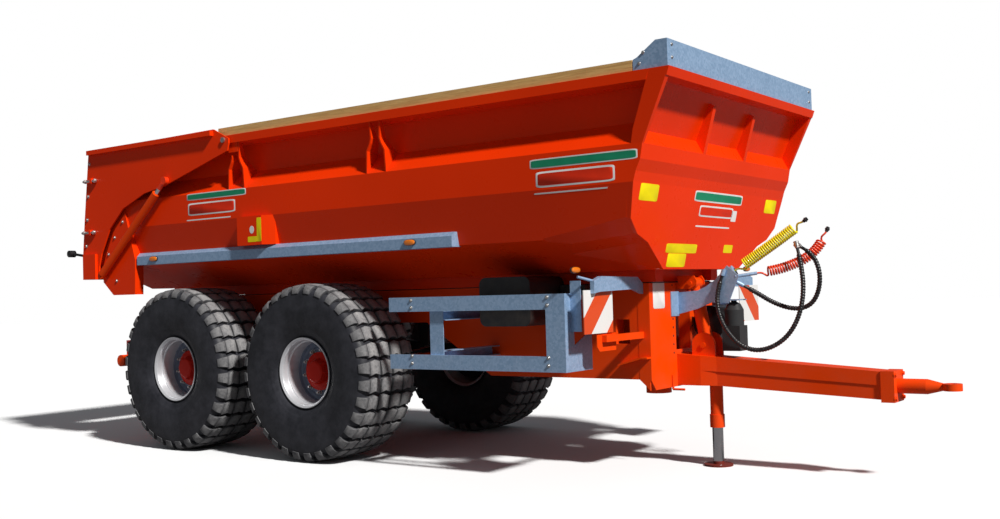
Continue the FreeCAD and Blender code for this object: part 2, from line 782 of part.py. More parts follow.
def drawbar():
    """Box beam of two halves, the upper a little proud, with the strut's lugs and the towing eye."""
    sides = {
        "upper": [
            ("frame_front_x", "bar_weld_root_z"),
            ("bar_tip_x", "bar_weld_tip_z"),
            ("bar_tip_x", "bar_tip_top_z"),
            ("frame_front_x", "bar_root_top_z"),
        ],
        "lower": [
            ("frame_front_x", "bar_bottom_z"),
            ("bar_neck_x", "bar_bottom_z"),
            ("bar_tip_x", "bar_tip_bottom_z"),
            ("bar_tip_x", "bar_weld_tip_z"),
            ("frame_front_x", "bar_weld_root_z"),
        ],
    }
    halves = []
    for half, side in sides.items():
        step = "bar_weld_step" if half == "lower" else "0"
        plan = [
            ("frame_front_x", "-bar_root_half"),
            ("bar_flare_x", "-bar_root_half"),
            ("bar_neck_x", f"{step} - bar_half"),
            ("bar_tip_x", f"{step} - bar_half"),
            ("bar_tip_x", f"bar_half - {step}"),
            ("bar_neck_x", f"bar_half - {step}"),
            ("bar_flare_x", "bar_root_half"),
            ("frame_front_x", "bar_root_half"),
        ]
        halves.append(common(
            f"bar_{half}",
            plate(f"bar_{half}_side", "xz", side, "-2 * bar_half", "2 * bar_half"),
            plate(f"bar_{half}_plan", "xy", plan, "bar_tip_bottom_z - 10", "bar_root_top_z + 10")))
    lug = plate("strut_lug_plate", "xz", [
        ("strut_foot_x - strut_dome_radius", "bar_root_top_z - 25"),
        ("strut_foot_x + strut_dome_radius", "bar_root_top_z - 25"),
        ("strut_foot_x + strut_dome_radius", "strut_foot_z", "strut_dome_radius", "left"),
        ("strut_foot_x", "strut_foot_z + strut_dome_radius", "strut_dome_radius", "left"),
        ("strut_foot_x - strut_dome_radius", "strut_foot_z"),
    ], "strut_lug_in", "strut_lug_in + strut_lug")
    pin = rod("strut_foot_pin", "y", ("strut_foot_x", "-(strut_lug_in + strut_lug + 10)", "strut_foot_z"), "20",
              "2 * (strut_lug_in + strut_lug + 10)")
    bore = rod("jack_bore", "z", ("jack_x", 0, "bar_bottom_z - 1"), "jack_leg_radius + slide_gap",
               "jack_leg_top_z + jack_stroke + 7 - bar_bottom_z")
    whole = joined("drawbar_whole", *halves, both_sides("strut_lugs", lug), pin)
    keep(cut("drawbar", whole, bore))
    flange = box("eye_flange", ("bar_tip_x", "-eye_flange_half", "eye_z - eye_flange_half"),
                 ("bar_tip_x + eye_flange_length", "eye_flange_half", "eye_z + eye_flange_half"))
    start = "bar_tip_x + eye_flange_length"
    ring_x = "eye_tip_x - eye_ring_radius"
    shank = turned("eye_shank", "x", [
        (0, start),
        ("eye_stub_radius", start),
        ("eye_stub_radius", f"{start} + eye_stub_length"),
        ("eye_thickness / 2", f"{ring_x} - eye_ring_radius + 10"),
        (0, f"{ring_x} - eye_ring_radius + 10"),
    ], (0, 0, "eye_z"))
    ring = rod("eye_ring", "z", (ring_x, 0, "eye_z - eye_thickness / 2"), "eye_ring_radius", "eye_thickness")
    bore = rod("eye_bore", "z", (ring_x, 0, "eye_z - eye_thickness"), "eye_bore_radius", "2 * eye_thickness")
    keep(cut("towing_eye", joined("eye_forging", flange, shank, ring), bore))


drawbar()


def drawbar_strut():
    """The sprung drawbar's cylinder, from its lugs on the drawbar up to the frame's clevis."""
    foot = point("strut_foot_x", 0, "strut_foot_z")
    head = point("strut_head_x", 0, "strut_head_z")
    middle = foot + (head - foot) * 0.62
    barrel = strut("strut_barrel", foot, middle, "strut_radius")
    shaft = strut("strut_shaft", middle, head, "strut_rod_radius")
    reach = "strut_lug_in - seat_gap"
    eyes = []
    for end, x, z, pin in (("foot", "strut_foot_x", "strut_foot_z", "20"),
                           ("head", "strut_head_x", "strut_head_z", "16")):
        eye = rod(f"strut_{end}_eye", "y", (x, f"-({reach})", z), "strut_eye_radius", f"2 * ({reach})")
        hole = rod(f"strut_{end}_hole", "y", (x, "-2 * strut_lug_in", z), f"{pin} + pin_gap", "4 * strut_lug_in")
        eyes.append((eye, hole))
    whole = joined("strut_whole", barrel, shaft, *(eye for eye, _ in eyes))
    keep(cut("drawbar_strut", whole, *(hole for _, hole in eyes)))


drawbar_strut()


def jack():
    keep(turned("jack_tube", "z", [
        ("jack_leg_radius + slide_gap", "jack_tube_bottom_z"),
        ("jack_collar_radius", "jack_tube_bottom_z"),
        ("jack_collar_radius", "jack_tube_bottom_z + jack_collar_height"),
        ("jack_tube_radius", "jack_tube_bottom_z + jack_collar_height"),
        ("jack_tube_radius", "bar_bottom_z"),
        ("jack_leg_radius + slide_gap", "bar_bottom_z"),
    ], ("jack_x", 0, 0)))
    keep(turned("jack_leg", "z", [
        (0, 0),
        ("jack_foot_radius", 0),
        ("jack_foot_radius", "jack_foot_thickness"),
        ("jack_leg_radius", "jack_foot_thickness"),
        ("jack_leg_radius", "jack_leg_top_z"),
        (0, "jack_leg_top_z"),
    ], ("jack_x", 0, 0)))


jack()


# ---------------------------------------------------------------- tub
def tub_outline():
    """Half of the outer section, from the floor up to the top rail."""
    return [
        ("floor_half", "tub_floor_z"),
        ("bend_half", "bend_z"),
        ("band_half", "band_bottom_z"),
        ("band_half", "band_top_z"),
        ("panel_half", "ledge_top_z"),
        ("panel_half", "tub_top_z - top_rail_depth"),
        ("top_rail_half", "tub_top_z - top_rail_depth + rail_rise"),
        ("top_rail_half", "tub_top_z"),
    ]


CURL = [
    ("floor_half", "tub_floor_z"),
    ("curl_half", "curl_z"),
    ("curl_bend_half", "curl_bend_z"),
    ("curl_side_half", "curl_side_z"),
]


def haunches(name, wall):
    """What lies outside the drawn-in corners by the headboard; they fade out to the rear."""
    corners = CURL + [
        ("band_half + 200", "curl_side_z"),
        ("band_half + 200", "tub_floor_z - 300"),
        ("floor_half", "tub_floor_z - 300"),
    ]
    spread = f"haunch_spread - 0.37 * {wall}"
    drop = f"haunch_drop - 0.93 * {wall}"
    shifted = [(f"{y} + {spread}", f"{z} - ({drop})") for y, z in corners]
    tool = plate(name, "yz", shifted, "head_foot_x - haunch_length", "head_foot_x + 140",
                 ("haunch_length", "-haunch_spread", "haunch_drop"))
    return [tool, mirrored(name + "_twin", tool)]


def tub():
    """Side walls and floor as one open trough, ended by the leaning headboard."""
    outside = plate("tub_outside", "yz", across(tub_outline()), "tub_rear_x", "head_rail_x")
    inside = plate("tub_inside", "yz", across([
        ("floor_half", "tub_floor_z + floor_wall"),
        ("floor_half + 300", "bend_z - 60"),
        ("panel_half - side_wall", "band_bottom_z - 60"),
        ("panel_half - side_wall", "tub_top_z + 1"),
    ]), "tub_rear_x - 1", "head_rail_x + 1")
    ahead = plate("headboard_space", "xz", [
        ("head_foot_x - head_wall", "tub_floor_z - 10"),
        ("head_foot_x - head_wall", "tub_floor_z"),
        ("head_wall_x - head_wall", "head_wall_z"),
        ("head_wall_top_x - head_wall", "tub_top_z"),
        ("head_wall_top_x - head_wall", "tub_top_z + 10"),
        ("head_rail_x + 100", "tub_top_z + 10"),
        ("head_rail_x + 100", "tub_floor_z - 10"),
    ], "-top_rail_half - 50", "top_rail_half + 50")
    hollow = cut("tub_hollow", inside, *haunches("haunch_inner", "haunch_wall"))
    return keep(cut("tub_shell", outside, hollow, ahead, *haunches("haunch_outer", "0")))


def headboard(shell):
    """Leaning front wall: box section below, recessed panel with ribs between flanges above."""
    section = plate("head_section", "xz", [
        ("head_foot_x - head_wall", "tub_floor_z"),
        ("head_foot_x", "tub_floor_z"),
        ("head_facet_x", "head_facet_z"),
        ("head_undercut_x", "head_undercut_z"),
        ("head_band_low_x", "head_band_low_z"),
        ("head_band_x", "head_band_z"),
        ("head_wall_x", "head_wall_z"),
        ("head_wall_top_x", "tub_top_z - head_rail_depth"),
        ("head_rail_x - 20", "tub_top_z - head_rail_depth"),
        ("head_rail_x", "tub_top_z"),
        ("head_wall_top_x - head_wall", "tub_top_z"),
        ("head_wall_x - head_wall", "head_wall_z"),
    ], "-top_rail_half", "top_rail_half")
    flange = plate("head_flange_plate", "xz", [
        ("head_wall_x - head_wall", "head_wall_z"),
        ("head_facet_x - 60", "head_facet_z"),
        ("head_undercut_x - 2", "head_undercut_z"),
        ("head_band_low_x", "head_band_low_z"),
        ("head_band_x", "head_band_z"),
        ("head_rail_x", "tub_top_z"),
        ("head_wall_top_x - head_wall", "tub_top_z"),
    ], "top_rail_half - head_flange", "top_rail_half")
    flanges = both_sides("head_flanges", flange)
    wall_lean = "(head_wall_top_x - head_wall_x) / (tub_top_z - head_rail_depth - head_wall_z)"
    rib = plate("head_rib", "xz", [
        ("head_wall_x - head_wall / 2", "head_wall_z - 60"),
        ("head_band_x", "head_band_z"),
        ("rib_top_x", "rib_top_z"),
        (f"head_wall_x - head_wall / 2 + (rib_top_z + 25 - head_wall_z) * {wall_lean}", "rib_top_z + 25"),
        ("head_wall_x - head_wall / 2", "head_wall_z"),
    ], "rib_y - rib_width / 2", "rib_y + rib_width / 2")
    ribs = both_sides("head_ribs", rib)
    silhouette = plate("head_silhouette", "yz", across(CURL + [
        ("band_half", "band_bottom_z"),
        ("band_half", "band_top_z"),
        ("top_rail_half", "tub_top_z"),
    ]), "head_foot_x - 400", "head_rail_x + 50")
    front = common("head_trimmed", joined("head_whole", section, flanges, ribs), silhouette)
    keep(cut("headboard", front, shell))


headboard(tub())


def boards():
    board = box("side_board", ("board_rear_x", "top_rail_half - board_inset - board_thickness", "tub_top_z"),
                ("board_front_x", "top_rail_half - board_inset", "tub_top_z + board_height"))
    keep(both_sides("side_boards", board))
    face = box("spill_face", ("spill_x - spill_thickness", "-spill_half", "tub_top_z"),
               ("spill_x", "spill_half", "spill_top_z"))
    wing = plate("spill_wing", "xz", [
        ("spill_wing_x", "tub_top_z"),
        ("spill_x", "tub_top_z"),
        ("spill_x", "spill_top_z"),
        ("spill_x - 80", "spill_top_z"),
        ("spill_wing_x + 30", "tub_top_z + board_height + 12"),
        ("spill_wing_x", "tub_top_z + board_height"),
    ], "spill_half - spill_thickness", "spill_half")
    keep(joined("spill_plate", face, both_sides("spill_wings", wing)))


boards()


SIDE_WALL = plate("tub_side_space", "yz", tub_outline()[:4] + [("0", "band_top_z"), ("0", "tub_floor_z")],
                  "tub_rear_x", "strip_front_x + 10")


def strips():
    """Galvanised side boxes along the tub's lower bend."""
    strip = plate("side_strip", "yz", [
        ("bend_half - 40", "strip_bottom_z"),
        ("strip_out", "strip_bottom_z"),
        ("strip_out", "strip_bottom_z + strip_height - strip_bevel"),
        ("strip_out - strip_bevel", "strip_bottom_z + strip_height"),
        ("bend_half - 40", "strip_bottom_z + strip_height"),
    ], "strip_rear_x", "strip_front_x")
    keep(both_sides("side_strips", cut("strip_fitted", strip, SIDE_WALL)))
    lamps = [
        box(f"marker_{n}", (f"{x} - lamp_length / 2", "strip_out", "lamp_z - lamp_height / 2"),
            (f"{x} + lamp_length / 2", "strip_out + lamp_thickness", "lamp_z + lamp_height / 2"))
        for n, x in enumerate(("lamp_front_x", "lamp_rear_x"))]
    keep(both_sides("marker_lamps", grouped("markers_one_side", *lamps)))


strips()


def tub_posts():
    """Pairs of folded gussets between ledge and top rail, and the gate pivots' plates."""
    rail = "tub_top_z - top_rail_depth"
    fold = [
        ("post_fold", f"{rail} + rail_rise"),
        ("post_fold - 8", "post_waist_z"),
        ("post_fold + 4", "post_waist_z - 36"),
        ("post_fold + 36", "post_waist_z - 92"),
        ("post_fold + 45", "band_top_z"),
    ]

    def under_rail(inset):
        """Point just under the rail's sloping underside, inset from its edge."""
        rise = f"rail_rise * (1 - {inset} / (top_rail_half - panel_half))"
        return (f"top_rail_half - {inset}", f"{rail} + {rise} - seat_gap")

    def folded(name, middle, sign, top):
        """A folded plate from its line as seen from the side, trimmed to the gusset's outline."""
        line = [(f"{middle} {sign} ({x})", z) for x, z in fold]
        back = [(f"{middle} {sign} ({x} - post_plate)", z) for x, z in reversed(fold)]
        whole = plate(name, "xz", line + back, "panel_half", "top_rail_half")
        space = plate(name + "_space", "yz", [
            ("band_half", "band_top_z"),
            *top,
            ("post_waist_y", "post_waist_z"),
            ("post_waist_y - 22", "post_waist_z - 36"),
            ("post_waist_y - 46", "post_waist_z - 92"),
            ("panel_half", "ledge_top_z"),
        ], f"{middle} - 200", f"{middle} + 200")
        return common(name + "_trimmed", whole, space)

    seat = (under_rail(12), under_rail(32))
    low = (("top_rail_half - 15", "post_waist_z + 20"), ("post_waist_y + 10", "post_waist_z + 20"))
    plates = [
        folded("post_ahead", "post_mid_x", "+", seat),
        folded("post_behind", "post_mid_x", "-", seat),
        folded("post_rear_ahead", "post_rear_x", "+", seat),
        folded("post_rear_behind", "post_rear_x", "-", low),
    ]
    pivot = plate("pivot_plate", "yz", [
        ("top_rail_half - 28", f"{rail} - 61"),
        ("top_rail_half - 12", f"{rail} - 61"),
        under_rail(12),
        under_rail(28),
    ], "gate_pivot_x + 16", "post_rear_x + post_fold - post_plate - 10")
    keep(both_sides("tub_posts", grouped("posts_one_side", *plates, pivot)))


tub_posts()


def tub_runners():
    """Runners under the floor, with the hinge lugs inside the rails and the ram's saddle."""
    runner = box("runner", ("hinge_x - 250", "rail_outer - rail_width", "runner_bottom_z"),
                 ("head_foot_x - 120", "rail_outer", "tub_floor_z"))
    lug_out = "rail_outer - rail_width - lug_clear"
    lug_in = f"{lug_out} - lug_width"
    lug = plate("hinge_lug", "xz", [
        ("hinge_x + lug_radius", "hinge_z"),
        ("hinge_x - lug_radius", "hinge_z"),
        ("hinge_x - lug_radius - 60", "tub_floor_z"),
        ("hinge_x + lug_radius + 60", "tub_floor_z"),
    ], lug_in, lug_out)
    lug_end = rod("hinge_lug_end", "y", ("hinge_x", lug_in, "hinge_z"), "lug_radius", "lug_width")
    tie = box("hinge_tie", ("hinge_x + 100", lug_in, "runner_bottom_z"),
              ("hinge_x + 200", "rail_outer", "tub_floor_z"))
    bore = rod("hinge_bore", "y", ("hinge_x", f"{lug_in} - 1", "hinge_z"), "hinge_pin_radius + pin_gap",
               "lug_width + 2")
    side = cut("runner_side", joined("runner_whole", runner, lug, lug_end, tie), bore)
    sides = both_sides("runner_sides", side)
    bars = [
        box(f"floor_bar_{n}", (x, "-(rail_outer - rail_width)", "runner_bottom_z"),
            (f"{x} + 80", "rail_outer - rail_width", "tub_floor_z"))
        for n, x in enumerate(("-2200", "-1300", "-400", "500", "lift_x - 190", "lift_x + 110"))]
    ram_lug = plate("ram_lug", "xz", [
        ("lift_x - 70", "tub_floor_z"),
        ("lift_x - 40", "lift_pin_z - 44"),
        ("lift_x + 40", "lift_pin_z - 44"),
        ("lift_x + 70", "tub_floor_z"),
    ], "lift_barrel_radius - lift_wall", "lift_barrel_radius - lift_wall + 30")
    keep(joined("tub_runners", sides, *bars, both_sides("ram_lugs", ram_lug)))


tub_runners()


def rear_plates():
    """Side plates at the tub's rear, with the tailgate rams' lower pins."""
    fin = plate("rear_fin", "xz", [
        ("ram_pin_x - 44", "ram_pin_z - 60"),
        ("-3115", "1333"),
        ("-2801", "1333"),
        ("-2790", "1640"),
        ("-2925", "2060"),
        ("-3100", "1900"),
        ("-3210", "1715"),
        ("-3268", "1580"),
    ], "rear_plate_y", "rear_plate_y + rear_plate")
    stud = rod("ram_stud", "y", ("ram_pin_x", "rear_plate_y + rear_plate", "ram_pin_z"), "ram_stud_radius",
               "gate_inner + cheek + 3 + slide_gap + eye_lug_width + 8 - rear_plate_y - rear_plate")
    spacer = box("fin_spacer", ("-3100", "band_half - 60", "1640"), ("-2850", "rear_plate_y", "1900"))
    flange = plate("fin_flange", "xz", [
        ("-2925", "2060"),
        ("-2790", "1640"),
        ("-2801", "1333"),
        ("-2801 - rear_plate", "1333"),
        ("-2790 - rear_plate", "1640"),
        ("-2925 - rear_plate", "2060"),
    ], "bend_half", "rear_plate_y")
    sides = both_sides("fins", cut("fin_fitted", joined("fin_whole", fin, stud, spacer, flange), SIDE_WALL))
    cover = plate("latch_cover_block", "xy", [
        ("cover_rear_x", "bend_half"),
        ("cover_front_x + cover_bevel", "bend_half"),
        ("cover_front_x + cover_bevel", "band_half - 10"),
        ("cover_front_x", "cover_out"),
        ("cover_rear_x", "cover_out"),
    ], "strip_bottom_z + strip_height + seat_gap", "band_bottom_z")
    latch_cover = mirrored("latch_cover", cut("latch_cover_fitted", cover, SIDE_WALL))
    keep(grouped("rear_plates", sides, latch_cover))


rear_plates()


# ---------------------------------------------------------------- tailgate
def tailgate():
    """Rear panel on two cheek arms that hang from the side pivots."""
    panel = plate("gate_panel", "xz", [
        ("cheek_rear_bottom_x", "gate_bottom_z"),
        ("cheek_rear_bottom_x + gate_panel", "gate_bottom_z"),
        ("cheek_rear_top_x + gate_panel - 35", "cheek_top_z - 40"),
        ("cheek_rear_top_x", "cheek_top_z - 40"),
    ], "-gate_inner", "gate_inner")
    ahead = box("gate_clearance", ("tub_rear_x - gate_gap", "-gate_inner - 10", "1000"),
                ("tub_rear_x + 400", "gate_inner + 10", "3000"))
    gate = keep(cut("tailgate_panel", panel, ahead))
    arm = strut("stalk_arm", point("cheek_rear_bottom_x + 20", "1150", "1690"),
                point("rear_lamp_x + 40", "1190", "1734"), "12")
    lamp = rod("stalk_lamp", "y", ("rear_lamp_x + 32", "1160", "1734"), "32", "60")
    keep(both_sides("stalk_lamps", cut("stalk_fitted", joined("stalk", arm, lamp), gate)))
    cheek = plate("gate_cheek", "xz", [
        ("gate_pivot_x + gate_boss_radius", "gate_pivot_z + 10"),
        ("gate_pivot_x - 127", "cheek_top_z + 6"),
        ("cheek_rear_top_x + 80", "cheek_top_z - 8"),
        ("cheek_rear_top_x", "cheek_top_z - 47"),
        ("-3498", "2009"),
        ("cheek_rear_bottom_x", "1712"),
        ("cheek_rear_bottom_x + 12", "gate_bottom_z"),
        ("-3290", "gate_bottom_z"),
        ("-3285", "1600"),
        ("-3245", "1715"),
        ("-3120", "1925"),
        ("-2915", "2100"),
        ("-2605", "2213"),
        ("gate_eye_x - 40", "gate_eye_z - 42"),
        ("gate_eye_x + 55", "gate_eye_z - 15"),
        ("gate_pivot_x + 42", "gate_pivot_z - 90"),
        ("gate_pivot_x + gate_boss_radius", "gate_pivot_z - 30"),
    ], "gate_inner", "gate_inner + cheek")
    bore = rod("cheek_bore", "y", ("gate_pivot_x", "gate_inner - 5", "gate_pivot_z"),
               "gate_pin_radius + pin_gap", "cheek + 10")
    lip = box("cheek_lip_bar", ("cheek_rear_top_x + 20", "gate_inner + cheek", "cheek_top_z - 48"),
              ("gate_pivot_x - 127", "gate_inner + cheek + cheek_lip", "cheek_top_z - 8"))
    foot = box("gate_foot", ("cheek_rear_bottom_x + 30", "gate_inner + cheek", "gate_bottom_z"),
               ("cheek_rear_bottom_x + 220", "gate_inner + cheek + gate_foot_out", "gate_foot_top_z"))
    stud = rod("cheek_stud", "y", ("gate_eye_x", "gate_inner + cheek", "gate_eye_z"), "ram_stud_radius", "3")
    keep(both_sides("gate_cheeks", joined("cheek_side", cut("cheek_bored", cheek, bore), lip, foot, stud)))
    pin = rod("pivot_pin", "y", ("gate_pivot_x", "top_rail_half", "gate_pivot_z"), "gate_pin_radius",
              "gate_inner - top_rail_half + cheek + 14")
    keep(both_sides("gate_pivots", pin))


tailgate()


def gate_ram(name, side):
    """Tailgate ram: barrel on the tub's stud, rod with its eye beside the cheek's stud."""
    mid_y = value("gate_inner + cheek + 3 + seat + eye_lug_width / 2".replace("seat", "slide_gap"))
    foot = Vector(value("ram_pin_x"), side * mid_y, value("ram_pin_z"))
    eye = Vector(value("gate_eye_x"), side * mid_y, value("gate_eye_z"))
    run = (eye - foot).normalize()
    barrel_end = foot + run * 1060
    bore_end = barrel_end - run * 30
    outer = strut(f"{name}_outer", foot + run * 20, barrel_end, "barrel_radius")
    foot_eye = rod(f"{name}_foot", "y", ("ram_pin_x", f"{side} * {mid_y} - eye_lug_width / 2", "ram_pin_z"),
                   "eye_lug_radius", "eye_lug_width")
    bore = strut(f"{name}_bore", foot + run * 90, barrel_end + run, "ram_rod_radius + slide_gap")
    pin_bore = rod(f"{name}_pin_bore", "y", ("ram_pin_x", f"{side} * {mid_y} - eye_lug_width", "ram_pin_z"),
                   "ram_stud_radius + pin_gap", "2 * eye_lug_width")
    keep(cut(f"gate_barrel_{name}", joined(f"{name}_body", outer, foot_eye), bore, pin_bore))
    shaft = strut(f"{name}_shaft", foot + run * 140, eye - run * value("eye_lug_radius - 6"), "ram_rod_radius")
    head = rod(f"{name}_head", "y", ("gate_eye_x", f"{side} * {mid_y} - eye_lug_width / 2", "gate_eye_z"),
               "eye_lug_radius", "eye_lug_width")
    keep(joined(f"gate_rod_{name}", shaft, head))


gate_ram("right", -1)
gate_ram("left", 1)


# ---------------------------------------------------------------- tipping ram
def tipping_ram():
    """Telescopic ram: a trunnion barrel with five stages, each inside the one before."""
    inner = "rail_outer - rail_width"
    case = turned("lift_case", "z", [
        (0, "lift_bottom_z"),
        ("lift_barrel_radius", "lift_bottom_z"),
        ("lift_barrel_radius", "lift_barrel_top_z"),
        ("lift_barrel_radius - lift_wall", "lift_barrel_top_z"),
        ("lift_barrel_radius - lift_wall", "lift_bottom_z + 20"),
        (0, "lift_bottom_z + 20"),
    ], ("lift_x", 0, 0))
    pins = [
        rod(f"trunnion_{n}", "y", ("lift_x", start, "lift_trunnion_z"), "trunnion_radius",
            f"{inner} - 25 - (lift_barrel_radius - lift_wall / 2)")
        for n, start in enumerate(("lift_barrel_radius - lift_wall / 2", f"-({inner} - 25)"))]
    keep(joined("lift_barrel", case, *pins))
    for stage in range(1, 6):
        outer = f"lift_barrel_radius - lift_wall - slide_gap - {stage - 1} * lift_step"
        low = f"lift_bottom_z + 20 + {stage} * 6"
        top = f"lift_barrel_top_z + {stage} * 8"
        if stage < 5:
            keep(turned(f"lift_stage_{stage}", "z", [
                (f"{outer} - lift_step + slide_gap", low),
                (outer, low),
                (outer, top),
                (f"{outer} - lift_step + slide_gap", top),
            ], ("lift_x", 0, 0)))
            continue
        shaft = turned("lift_shaft", "z", [
            (0, low),
            (outer, low),
            (outer, "lift_pin_z"),
            (0, "lift_pin_z"),
        ], ("lift_x", 0, 0))
        reach = "lift_barrel_radius - lift_wall - seat_gap"
        head = rod("lift_head", "y", ("lift_x", f"-({reach})", "lift_pin_z"), "lift_eye_radius", f"2 * ({reach})")
        keep(joined(f"lift_stage_{stage}", shaft, head))


tipping_ram()


# ---------------------------------------------------------------- guards and fittings
def side_guards():
    inside = "guard_out - guard_thickness"
    frame = plate("guard_frame", "xz", [
        ("guard_rear_x", "guard_bottom_z"),
        ("guard_front_x", "guard_bottom_z"),
        ("guard_front_x", "guard_top_z"),
        ("guard_rear_x", "guard_top_z"),
        ("guard_rear_x", "guard_top_z - guard_bar"),
        ("guard_plate_x", "guard_top_z - guard_bar"),
        ("guard_plate_x", "guard_bottom_z + guard_bar"),
        ("guard_rear_x", "guard_bottom_z + guard_bar"),
    ], inside, "guard_out")
    back = plate("guard_return", "yz", [
        ("guard_out", "guard_bottom_z"),
        ("guard_out", "guard_top_z"),
        ("guard_out - 100", "guard_top_z"),
        ("guard_out - 110", "guard_bottom_z + 170"),
        ("guard_return_in", "guard_bottom_z + 265"),
        ("guard_return_in", "guard_bottom_z"),
    ], "guard_front_x", "guard_front_x + sheet_thickness")
    upright = box("guard_upright", ("guard_arm_x - 60", f"{inside} - sheet_thickness", "guard_bottom_z"),
                  ("guard_arm_x + 60", inside, "guard_top_z"))
    arms = []
    for n, z in enumerate(("guard_bottom_z + 60", "guard_top_z - 170")):
        arms.append(plate(f"guard_arm_{n}", "xz", [
            ("guard_arm_x - 40", z),
            ("guard_arm_x + 40", z),
            ("guard_arm_x + 40", f"{z} + sheet_thickness"),
            ("guard_arm_x - 40 + sheet_thickness", f"{z} + sheet_thickness"),
            ("guard_arm_x - 40 + sheet_thickness", f"{z} + 70 - sheet_thickness"),
            ("guard_arm_x + 40", f"{z} + 70 - sheet_thickness"),
            ("guard_arm_x + 40", f"{z} + 70"),
            ("guard_arm_x - 40", f"{z} + 70"),
        ], "rail_outer", inside))
    ahead = "guard_front_x + sheet_thickness"
    post = plate("guard_post", "xy", [
        (ahead, "guard_out - 72"),
        (f"{ahead} + 80", "guard_out - 72"),
        (f"{ahead} + 80", "guard_out - 72 - sheet_thickness"),
        (f"{ahead} + sheet_thickness", "guard_out - 72 - sheet_thickness"),
        (f"{ahead} + sheet_thickness", "guard_out - 152"),
        (ahead, "guard_out - 152"),
    ], "guard_top_z - 250", "guard_top_z + 80")
    keep(both_sides("side_guards", joined("guard_side", frame, back, upright, post, *arms)))


side_guards()


def toolbox():
    low = ("toolbox_rear_x", "toolbox_bottom_z")
    high = ("toolbox_front_x", "toolbox_top_z")
    shell = plate("toolbox_shell", "xz", rounded(low, high, "toolbox_round"), "-toolbox_out", "-toolbox_in")
    shelf = box("toolbox_shelf", ("toolbox_rear_x + 60", "-toolbox_in", "toolbox_bottom_z + 60"),
                ("toolbox_front_x - 60", "-rail_outer", "toolbox_bottom_z + 120"))
    control = box("control_box", ("side_box_rear_x", "-side_box_out", "rail_top_z - side_box_height"),
                  ("side_box_front_x", "-rail_outer", "rail_top_z"))
    keep(grouped("toolbox", joined("toolbox_hung", shell, shelf), control))


toolbox()


def warning_plates():
    """Square warning boards on galvanised arms that reach out from the front frame, with lamps."""
    out = "guard_out + 8"
    right = box("board_right", ("plate_x", f"-({out})", "plate_top_z - plate_height"),
                ("plate_x + sheet_thickness", f"plate_width - ({out})", "plate_top_z"))
    left = box("board_left", ("plate_left_x", f"{out} - plate_width", "plate_top_z - plate_height"),
               ("plate_left_x + sheet_thickness", out, "plate_top_z"))
    keep(grouped("warning_boards", right, left))
    arm = [
        ("post_outer", "plate_top_z - 37"),
        ("post_outer", "plate_top_z + 33"),
        ("post_outer + 70", "plate_top_z + 80"),
        ("1040", "plate_top_z + 88"),
        ("1135", "plate_top_z + 60"),
        ("1135", "plate_top_z - 22"),
        ("1060", "plate_top_z - 12"),
        ("post_outer + 130", "plate_top_z - 2"),
    ]
    back = "plate_x + sheet_thickness"
    bar_right = mirrored("board_arm_right", plate("board_arm_right_bar", "yz", arm, back, f"{back} + plate_arm"))
    bar_left = plate("board_arm_left_bar", "yz", arm, "plate_left_x - plate_arm", "plate_left_x")
    foot_left = box("board_foot_left", ("frame_front_x", "post_outer - 40", "plate_top_z - 37"),
                    ("plate_left_x", "post_outer", "plate_top_z + 33"))
    stalks = []
    pods = []
    for side, sign, x in (("right", -1, back), ("left", 1, "plate_left_x - plate_arm")):
        pod_x = "lamp_pod_x" if side == "right" else "lamp_pod_x + plate_left_x - plate_x - plate_arm"
        stalks.append(strut(
            f"lamp_stalk_{side}",
            point(f"{pod_x} + 20", f"{sign} * lamp_pod_y", "lamp_pod_z - lamp_pod_radius - 6"),
            point(f"{x} + 12", f"{sign} * 1100", "plate_top_z + 55"), "9"))
        pods.append(rod(f"lamp_pod_{side}", "x", (pod_x, f"{sign} * lamp_pod_y", "lamp_pod_z"),
                        "lamp_pod_radius", "26"))
    arms = keep(grouped("board_arms", joined("arm_set_right", bar_right, stalks[0]),
                        joined("arm_set_left", bar_left, foot_left, stalks[1])))
    keep(grouped("front_lamps", *(cut(f"{pod.Name}_fitted", pod, arms) for pod in pods)))


warning_plates()


def rear_bumper():
    tube = rod("bumper_tube", "y", ("bumper_x", "-bumper_half", "bumper_z"), "bumper_radius", "2 * bumper_half")
    arm = plate("bumper_arm", "xz", [
        ("bumper_x - 40", "bumper_z"),
        ("bumper_x + 40", "bumper_z"),
        ("hinge_x + 60", "rail_bottom_z"),
        ("hinge_x - rail_tail", "rail_bottom_z"),
    ], "rail_outer - 80", "rail_outer - 30")
    keep(joined("rear_bumper", tube, both_sides("bumper_arms", arm)))
    lamp = box("lamp_board", ("bumper_x - 20", "620", "bumper_z + bumper_radius - 10"),
               ("bumper_x + 20", "1020", "bumper_z + bumper_radius + 130"))
    keep(both_sides("rear_lamps", cut("lamp_seated", lamp, tube)))


rear_bumper()


# ---------------------------------------------------------------- hoses
LONG_HOSE = [
    (2775, 72, 1510), (2812, 58, 1352), (2822, 34, 1180), (2790, 8, 1026), (2720, -20, 906), (2615, -50, 832),
    (2500, -76, 812), (2390, -94, 862), (2305, -102, 965), (2252, -100, 1092), (2248, -92, 1222), (2285, -80, 1336),
]
SHORT_HOSE = [
    (2775, 130, 1517), (2850, 130, 1475), (2902, 135, 1365), (2899, 140, 1237), (2853, 140, 1136),
    (2778, 130, 1092), (2679, 110, 1098), (2573, 78, 1145), (2486, 32, 1212), (2416, -24, 1262),
]
YELLOW_COIL = [(2352, -16, 1367), (2588, 18, 1514), (2828, 62, 1686)]
RED_COIL = [
    (2500, 18, 1345), (2590, 75, 1358), (2690, 140, 1388), (2800, 210, 1445), (2872, 268, 1535), (2900, 300, 1620),
]
ARC_SHARE = 0.45


